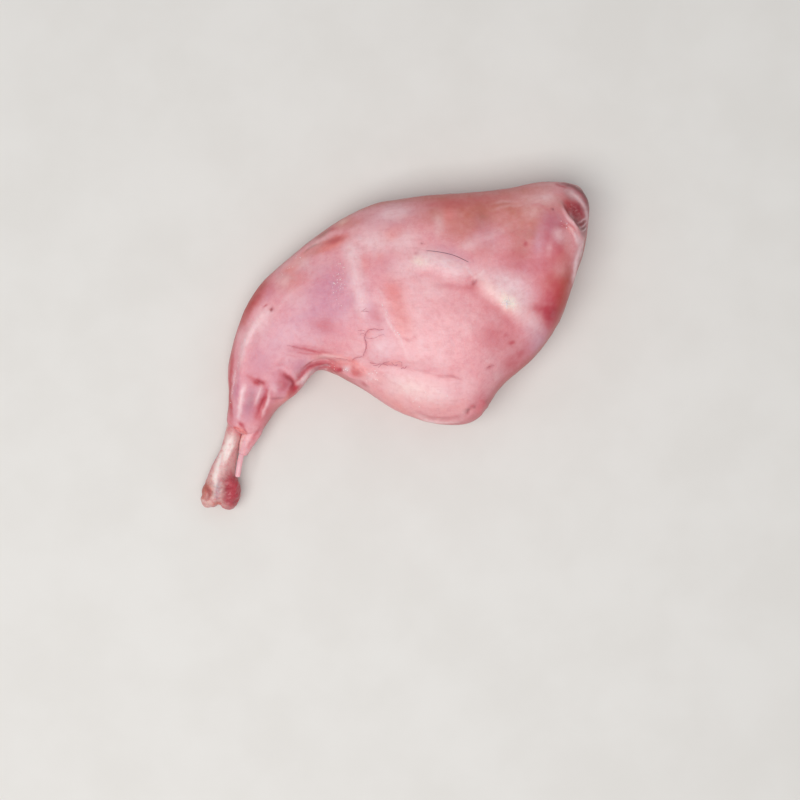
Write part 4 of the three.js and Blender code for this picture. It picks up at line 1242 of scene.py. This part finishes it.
class LegColours(bpy.types.PropertyGroup):
    """What the eye sees of the meat, bone and sinew."""

    flesh: colour_setting("Flesh", "Pink muscle under thin silverskin", "e7a1a8")
    tan: colour_setting("Tan", "Drier, browner muscle along the front", "cb7a6e")
    violet: colour_setting("Violet", "Thick muscle seen through clear film", "cb8ca2")
    amber: colour_setting("Amber", "Orange-pink muscle and soft fat", "e98f8c")
    flush: colour_setting("Flush", "Redder muscle", "c24654")
    # Rim: the sides' brownish red, partly the muscle's own colour where the film is thin, partly painted
    # shade.
    rim: colour_setting("Rim", "Brownish red of the sides", "b03a2e")
    bruise: colour_setting("Bruise", "Dark grey-brown old blood under film", "7a5250")
    film: colour_setting("Film", "Cloudy silverskin", "f3d4d8")
    # Fat: creamy fat, and also the colour of painted glints on the sinew and at the calf's edge.
    fat: colour_setting("Fat", "Creamy fat", "fbeadd")
    blood: colour_setting("Blood", "Deep red cut muscle and blood", "861a2a")
    lip: colour_setting("Lip", "Torn red-pink edge of the cuff", "ee8f8e")
    bone: colour_setting("Bone", "Ivory of the shaft", "dcb3ae")
    skin: colour_setting("Bone skin", "Pink-red skin left on the bone", "d07a80")
    shade: colour_setting("Bone shade", "Pinkish brown of the bone's far side", "c88c92")
    groove: colour_setting("Groove", "Lilac grey of the joint's groove", "b4949e")
    # Streak: the white of the bone's bare ridge, partly a painted highlight.
    streak: colour_setting("Streak", "White of the bone's bare ridge", "f2e2de")
    gristle: colour_setting("Gristle", "Orange-pink cartilage of the joint", "bf6255")
    tendon: colour_setting("Tendon", "Pale pink of the heel tendon", "e7b2ba")
    # Wet: the beads' pale colour, partly a painted glint.
    wet: colour_setting("Wet", "Beads of juice", "f8dedf")
    hair: colour_setting("Hair", "A dark hair on the meat", "5c3c4a")
    line: colour_setting("Line", "Thin lines of dried blood", "c87c88")


# ---- pieces ----


def warped(place, x, y, z, up, seed):
    """Places moved by noise, so that no edge of a tint is a clean curve, and further where it is steep."""
    fine = sum(rough_noise(x, y, *warp, seed + k) for k, warp in enumerate(WARPS))
    steep = (1 - smooth(up, *FLAT_TURN)) * rough_noise(x + z, y - z, *STEEP_WARP, seed + len(WARPS))
    return place + (fine + steep) * MM


def meat_tints(x, y, z, up, leg):
    """Each tint's weight at each vertex: one minus what every blot and stroke leaves of it, mottled by
    noise. The top tints fade out down the sides, and the others further round to the underside. The sides
    turn redder except where they are spared: partly the muscle's own colour, partly painted shade."""
    spots = [warped(place, x, y, z, up, seed) for place, seed in zip((x, y), WARP_SEEDS)]
    blots, strokes = inked(MEAT_BLOTS, *spots, leg), inked(MEAT_STROKES, *spots, leg)
    tints = {}
    for k, tint in enumerate(TINTS):
        mottle = sum(rough_noise(x, y, *row, seed + k) for row, seed in zip(MOTTLES, MOTTLE_SEEDS))
        shown = smooth(up, *(TOP_TURN if tint in TOP_TINTS else ROUND_TURN))
        whole = 1 - blots.get(tint, 1) * strokes.get(tint, 1)
        tints[tint] = np.clip(whole * (MOTTLE_MIDDLE + mottle), 0, 1) * shown
    tints["pebbled"] = (1 - blots["pebbled"]) * smooth(up, *TOP_TURN)
    side = (1 - smooth(up, *OFF_SIDE_TURN)) * smooth(up, *OFF_FLOOR_TURN) * blots["spare"]
    side = side * (SIDE_MIDDLE + rough_noise(x + z, y - SIDE_SLANT * z, *SIDE_MOTTLE))
    for tint, (strength, most) in SIDE_TINTS.items():
        tints[tint] = 1 - (1 - tints[tint]) * (1 - np.clip(strength * side, 0, most))
    return tints


def meat_shell(leg):
    """The meat: its sections swept from the rump to the cuff, each vertex moved along its normal by the
    swells, lines and waves where it faces up, and by fine lumps all over, and nothing below the floor.
    Returns vertices, loops, loop starts, the normals' upward shares and UVs."""
    table = np.array(MEAT_SECTIONS, float)
    z, crown, keel = (table[:, 4:] / PERCENT * leg.height).T
    edges = [np.hstack([in_plan(table[:, k : k + 2], leg), z[:, None]]) for k in (0, 2)]
    grid = (leg.rows, leg.over, leg.under)
    points = sweep(*edges, crown, keel, *grid, MEAT_ENDS, MEAT_FULLNESS)
    points[:, :, 2] = np.maximum(points[:, :, 2], 0)
    vertices, loops, starts = shell(points)
    normals = normals_of(vertices, loops, starts)
    x, y, up = vertices[:, 0], vertices[:, 1], normals[:, 2]
    swells = sum(rise * blot_weight(x, y, blot, leg) for *blot, rise in MEAT_SWELLS)
    lines = sum(rise * stroke_weight(x, y, half, path, leg) for half, rise, path in MEAT_LINES)
    waves = rough_noise(x, y, *MEAT_WAVES) * smooth(up, *WAVES_TURN)
    lift = (swells + lines) * smooth(up, *RELIEF_TURN) + waves + rough_noise(x, y, *MEAT_LUMPS)
    vertices = vertices + normals * (lift * MM)[:, None]
    vertices[:, 2] = np.maximum(vertices[:, 2], 0)
    return vertices, loops, starts, normals_of(vertices, loops, starts)[:, 2], along_uv(points)


def flap_shell(leg):
    """The flap at the heel: a swept rod, each vertex moved along its normal by lumps. Returns what
    meat_shell does."""
    points = sweep(*rod_edges(FLAP_STATIONS, leg), *FLAP_GRID)
    vertices, loops, starts = shell(points)
    normals = normals_of(vertices, loops, starts)
    lift = rough_noise(vertices[:, 0], vertices[:, 1], *FLAP_LUMPS)
    return vertices + normals * (lift * MM)[:, None], loops, starts, normals[:, 2], along_uv(points)


def bone_shell(leg):
    """The shin bone: a swept rod, each vertex moved along its normal by the swells of the joint end, by
    lumps on its knob and by a fine grain, and nothing below the floor. Returns vertices, loops, loop
    starts, the tints and UVs."""
    points = sweep(*rod_edges(BONE_STATIONS, leg), *BONE_GRID)
    vertices, loops, starts = shell(points)
    normals = normals_of(vertices, loops, starts)
    x, y, z = vertices.T
    lift = sum(rise * blot_weight(x, y, blot, leg) for *blot, rise in BONE_SWELLS)
    knob = smooth(-y, *(-in_plan([(0, reach) for reach in KNOB_REACH], leg)[:, 1]))
    lift = lift + knob * (rough_noise(x, y + z, *KNOB_LUMPS) + rough_noise(x, y + z, *KNOB_GRAIN))
    lift = lift + rough_noise(x, y + z, *BONE_GRAIN)
    warp = rough_noise(x, y, *BONE_WARP) * MM
    left = inked(BONE_MARKS, x + warp, y - warp, leg)
    tints = {tint: (1 - left[tint]) * smooth(normals[:, 2], *BONE_TURN) for tint in BONE_TINTS}
    bare = 1 - BONE_SKIN_LEAST * (1 - smooth(normals[:, 2], *BONE_SKIN_TURN))
    tints["skin"] = 1 - (1 - tints["skin"]) * bare
    vertices = vertices + normals * (lift * MM)[:, None]
    vertices[:, 2] = np.maximum(vertices[:, 2], 0)
    return vertices, loops, starts, tints, along_uv(points)


class LEG_OT_make_meat(bpy.types.Operator):
    """Make the meat in its silverskin"""

    bl_idname = "leg.make_meat"
    bl_label = "Meat"

    def execute(self, context):
        leg, colours = context.scene.leg_sizes, leg_colours(context)
        material = surface("raw meat under silverskin", MEAT_RECIPE, colours["flesh"], colours)
        vertices, loops, starts, up, uv = meat_shell(leg)
        tints = meat_tints(*vertices.T, up, leg)
        piece = put("leg_meat_surface", vertices, loops, starts, material, tints, uv)
        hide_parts("leg_meat")
        vertices, loops, starts, up, uv = flap_shell(leg)
        tints = meat_tints(*vertices.T, up, leg)
        piece = put("heel_flap", vertices, loops, starts, material, tints, uv)
        return {"FINISHED"}


class LEG_OT_make_bone(bpy.types.Operator):
    """Make the shin bone and its joint end"""

    bl_idname = "leg.make_bone"
    bl_label = "Shin bone"

    def execute(self, context):
        leg, colours = context.scene.leg_sizes, leg_colours(context)
        material = surface("fresh wet bone", BONE_RECIPE, colours["bone"], colours)
        vertices, loops, starts, tints, uv = bone_shell(leg)
        piece = put("shin_bone_surface", vertices, loops, starts, material, tints, uv)
        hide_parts("shin_bone")
        return {"FINISHED"}


class LEG_OT_make_tendon(bpy.types.Operator):
    """Make the cut end of the heel tendon"""

    bl_idname = "leg.make_tendon"
    bl_label = "Heel tendon"

    def execute(self, context):
        leg, colours = context.scene.leg_sizes, leg_colours(context)
        points = sweep(*rod_edges(TENDON_STATIONS, leg), *TENDON_GRID, fullness=TENDON_FULLNESS)
        vertices, loops, starts = shell(points)
        material = surface("moist tendon", SINEW_RECIPE, colours["tendon"], {"spot": colours["flesh"]})
        piece = put("heel_tendon_strap", vertices, loops, starts, material, None, along_uv(points))
        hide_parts("heel_tendon")
        return {"FINISHED"}


class LEG_OT_make_lip(bpy.types.Operator):
    """Lay the cuff's torn lip on the meat"""

    bl_idname = "leg.make_lip"
    bl_label = "Cuff's lip"

    def execute(self, context):
        leg, colours = context.scene.leg_sizes, leg_colours(context)
        material = surface("torn cuff lip", SINEW_RECIPE, colours["lip"], {"spot": colours["flush"]})
        points = lip_sheet(meat_top(), leg)
        piece = put("cuff_lip", *shell(points), material, None, along_uv(points))
        return {"FINISHED"}


class LEG_OT_make_threads(bpy.types.Operator):
    """Lay the hair, the fine blood lines and the beads of wet on the meat"""

    bl_idname = "leg.make_threads"
    bl_label = "Hair, blood lines and beads"

    def execute(self, context):
        leg, colours = context.scene.leg_sizes, leg_colours(context)
        ground = meat_top()
        hair = surface("dark hair", SINEW_RECIPE, colours["hair"], {"spot": colours["hair"]})
        line = through(in_plan(HAIR_PATH, leg), np.linspace(0, 1, HAIR_POINTS))
        line = settled(laid(line, ground, HAIR_LIFT), HAIR_STIFFNESS)
        points = tube(line, HAIR_RADIUS * MM, HAIR_RINGS)
        piece = put("loose_hair", *shell(points), hair, None, along_uv(points))
        blood = surface("thin blood line", SINEW_RECIPE, colours["line"], {"spot": colours["flush"]})
        rng = np.random.default_rng(BLOOD_SEED)
        for i, (radius, path) in enumerate(BLOOD_LINES):
            line = through(in_plan(path, leg), np.linspace(0, 1, BLOOD_POINTS * len(path)))
            line = line + rng.uniform(-BLOOD_JITTER, BLOOD_JITTER, line.shape) * MM
            line = settled(laid(line, ground, -BLOOD_SINK * radius))
            points = tube(line, radius * MM, BLOOD_RINGS * len(line))
            piece = put(f"blood_line_{i + 1}", *shell(points), blood, None, along_uv(points))
        wet = surface("beads of wet", BEAD_RECIPE, colours["wet"])
        piece = put("beads_of_wet", *droplet_shells(ground, leg), wet)
        return {"FINISHED"}


def aimed(name, data, place, target):
    """A lamp or camera at a place, its -Z towards the target and its +Y as near to +Y as that allows."""
    thing = bpy.data.objects.new(name, data)
    bpy.context.scene.collection.objects.link(thing)
    back = np.array(place, float) - np.array(target, float)
    back /= np.linalg.norm(back)
    right = np.cross((0, 1, 0), back)
    right /= np.linalg.norm(right)
    up = np.cross(back, right)
    rows = np.column_stack([right, up, back, place]).tolist()
    thing.matrix_world = Matrix([*rows, [0, 0, 0, 1]])
    return thing


class LEG_OT_make_stage(bpy.types.Operator):
    """Make the floor, the soft studio light and the camera straight above"""

    bl_idname = "leg.make_stage"
    bl_label = "Stage"

    def execute(self, context):
        scene = context.scene
        studio = scene.leg_studio
        floor_mesh = bpy.data.meshes.new("studio_floor")
        corners = [(x * FLOOR_HALF, y * FLOOR_HALF, 0) for x, y in ((-1, -1), (1, -1), (1, 1), (-1, 1))]
        floor_mesh.from_pydata(corners, [], [(0, 1, 2, 3)])
        sheet = surface("pale matt floor", FLOOR_RECIPE, studio.floor[:], {"white": (1, 1, 1)})
        floor_mesh.materials.append(sheet)
        floor = bpy.data.objects.new("studio_floor", floor_mesh)
        scene.collection.objects.link(floor)
        for name, place, size, power, tint in LAMPS:
            lamp = bpy.data.lights.new(name, "AREA")
            lamp.shape = "RECTANGLE"
            lamp.size, lamp.size_y = size
            lamp.energy = power * studio.light
            lamp.color = tint
            aimed(name, lamp, place, LAMP_TARGET)
        world = bpy.data.worlds.new("studio_air")
        world.use_nodes = True
        background = world.node_tree.nodes["Background"].inputs
        background["Color"].default_value = AIR_COLOUR
        background["Strength"].default_value = studio.air
        scene.world = world
        camera = bpy.data.cameras.new("camera")
        camera.sensor_width = SENSOR
        camera.lens = SENSOR * studio.distance / studio.view
        camera.clip_start = NEAREST
        aim = (studio.aim_x, studio.aim_y)
        scene.camera = aimed("camera", camera, (*aim, studio.distance + WIDEST_LINE), (*aim, 0))
        scene.view_settings.view_transform = "Standard"
        return {"FINISHED"}


class LegStudio(bpy.types.PropertyGroup):
    """The stage, its light and the camera's framing."""

    distance: length_setting("Distance", "From the leg's widest line up to the camera", 0.65)
    view: length_setting("View", "Width of what the camera sees at the leg", 0.3387)
    aim_x: place_setting("Aim X", "Where the camera looks", 0.00295)
    aim_y: place_setting("Aim Y", "Where the camera looks", -0.0227)
    floor: colour_setting("Floor", "Pale floor", "dcd9d5")
    light: FloatProperty(name="Light", description="Strength of the soft lamps", default=1.0, min=0)
    air: FloatProperty(name="Air", description="Strength of the light from all round", default=0.35, min=0)


OPERATORS = (
    LEG_OT_make_meat,
    LEG_OT_make_bone,
    LEG_OT_make_tendon,
    LEG_OT_make_lip,
    LEG_OT_make_threads,
    LEG_OT_make_stage,
)


class LEG_PT_pieces(bpy.types.Panel):
    """Shows the leg's settings and the buttons that make its pieces"""

    bl_idname = "LEG_PT_pieces"
    bl_label = "Raw rabbit leg"
    bl_space_type = "VIEW_3D"
    bl_region_type = "UI"
    bl_category = "Rabbit leg"

    def draw(self, context):
        for group in ("leg_sizes", "leg_colours", "leg_studio"):
            box = self.layout.box()
            settings = getattr(context.scene, group)
            for key in settings.bl_rna.properties.keys():
                if key not in ("rna_type", "name"):
                    box.prop(settings, key)
        for kind in OPERATORS:
            self.layout.operator(kind.bl_idname)


GROUPS = {"leg_sizes": LegSizes, "leg_colours": LegColours, "leg_studio": LegStudio}


def register():
    for kind in (*GROUPS.values(), *OPERATORS, LEG_PT_pieces):
        bpy.utils.register_class(kind)
    for name, kind in GROUPS.items():
        setattr(bpy.types.Scene, name, PointerProperty(type=kind))


def unregister():
    for name in GROUPS:
        delattr(bpy.types.Scene, name)
    for kind in reversed((*GROUPS.values(), *OPERATORS, LEG_PT_pieces)):
        bpy.utils.unregister_class(kind)


def main():
    register()
    for kind in OPERATORS:
        group, name = kind.bl_idname.split(".")
        getattr(getattr(bpy.ops, group), name)()


if __name__ == "__main__":
    main()
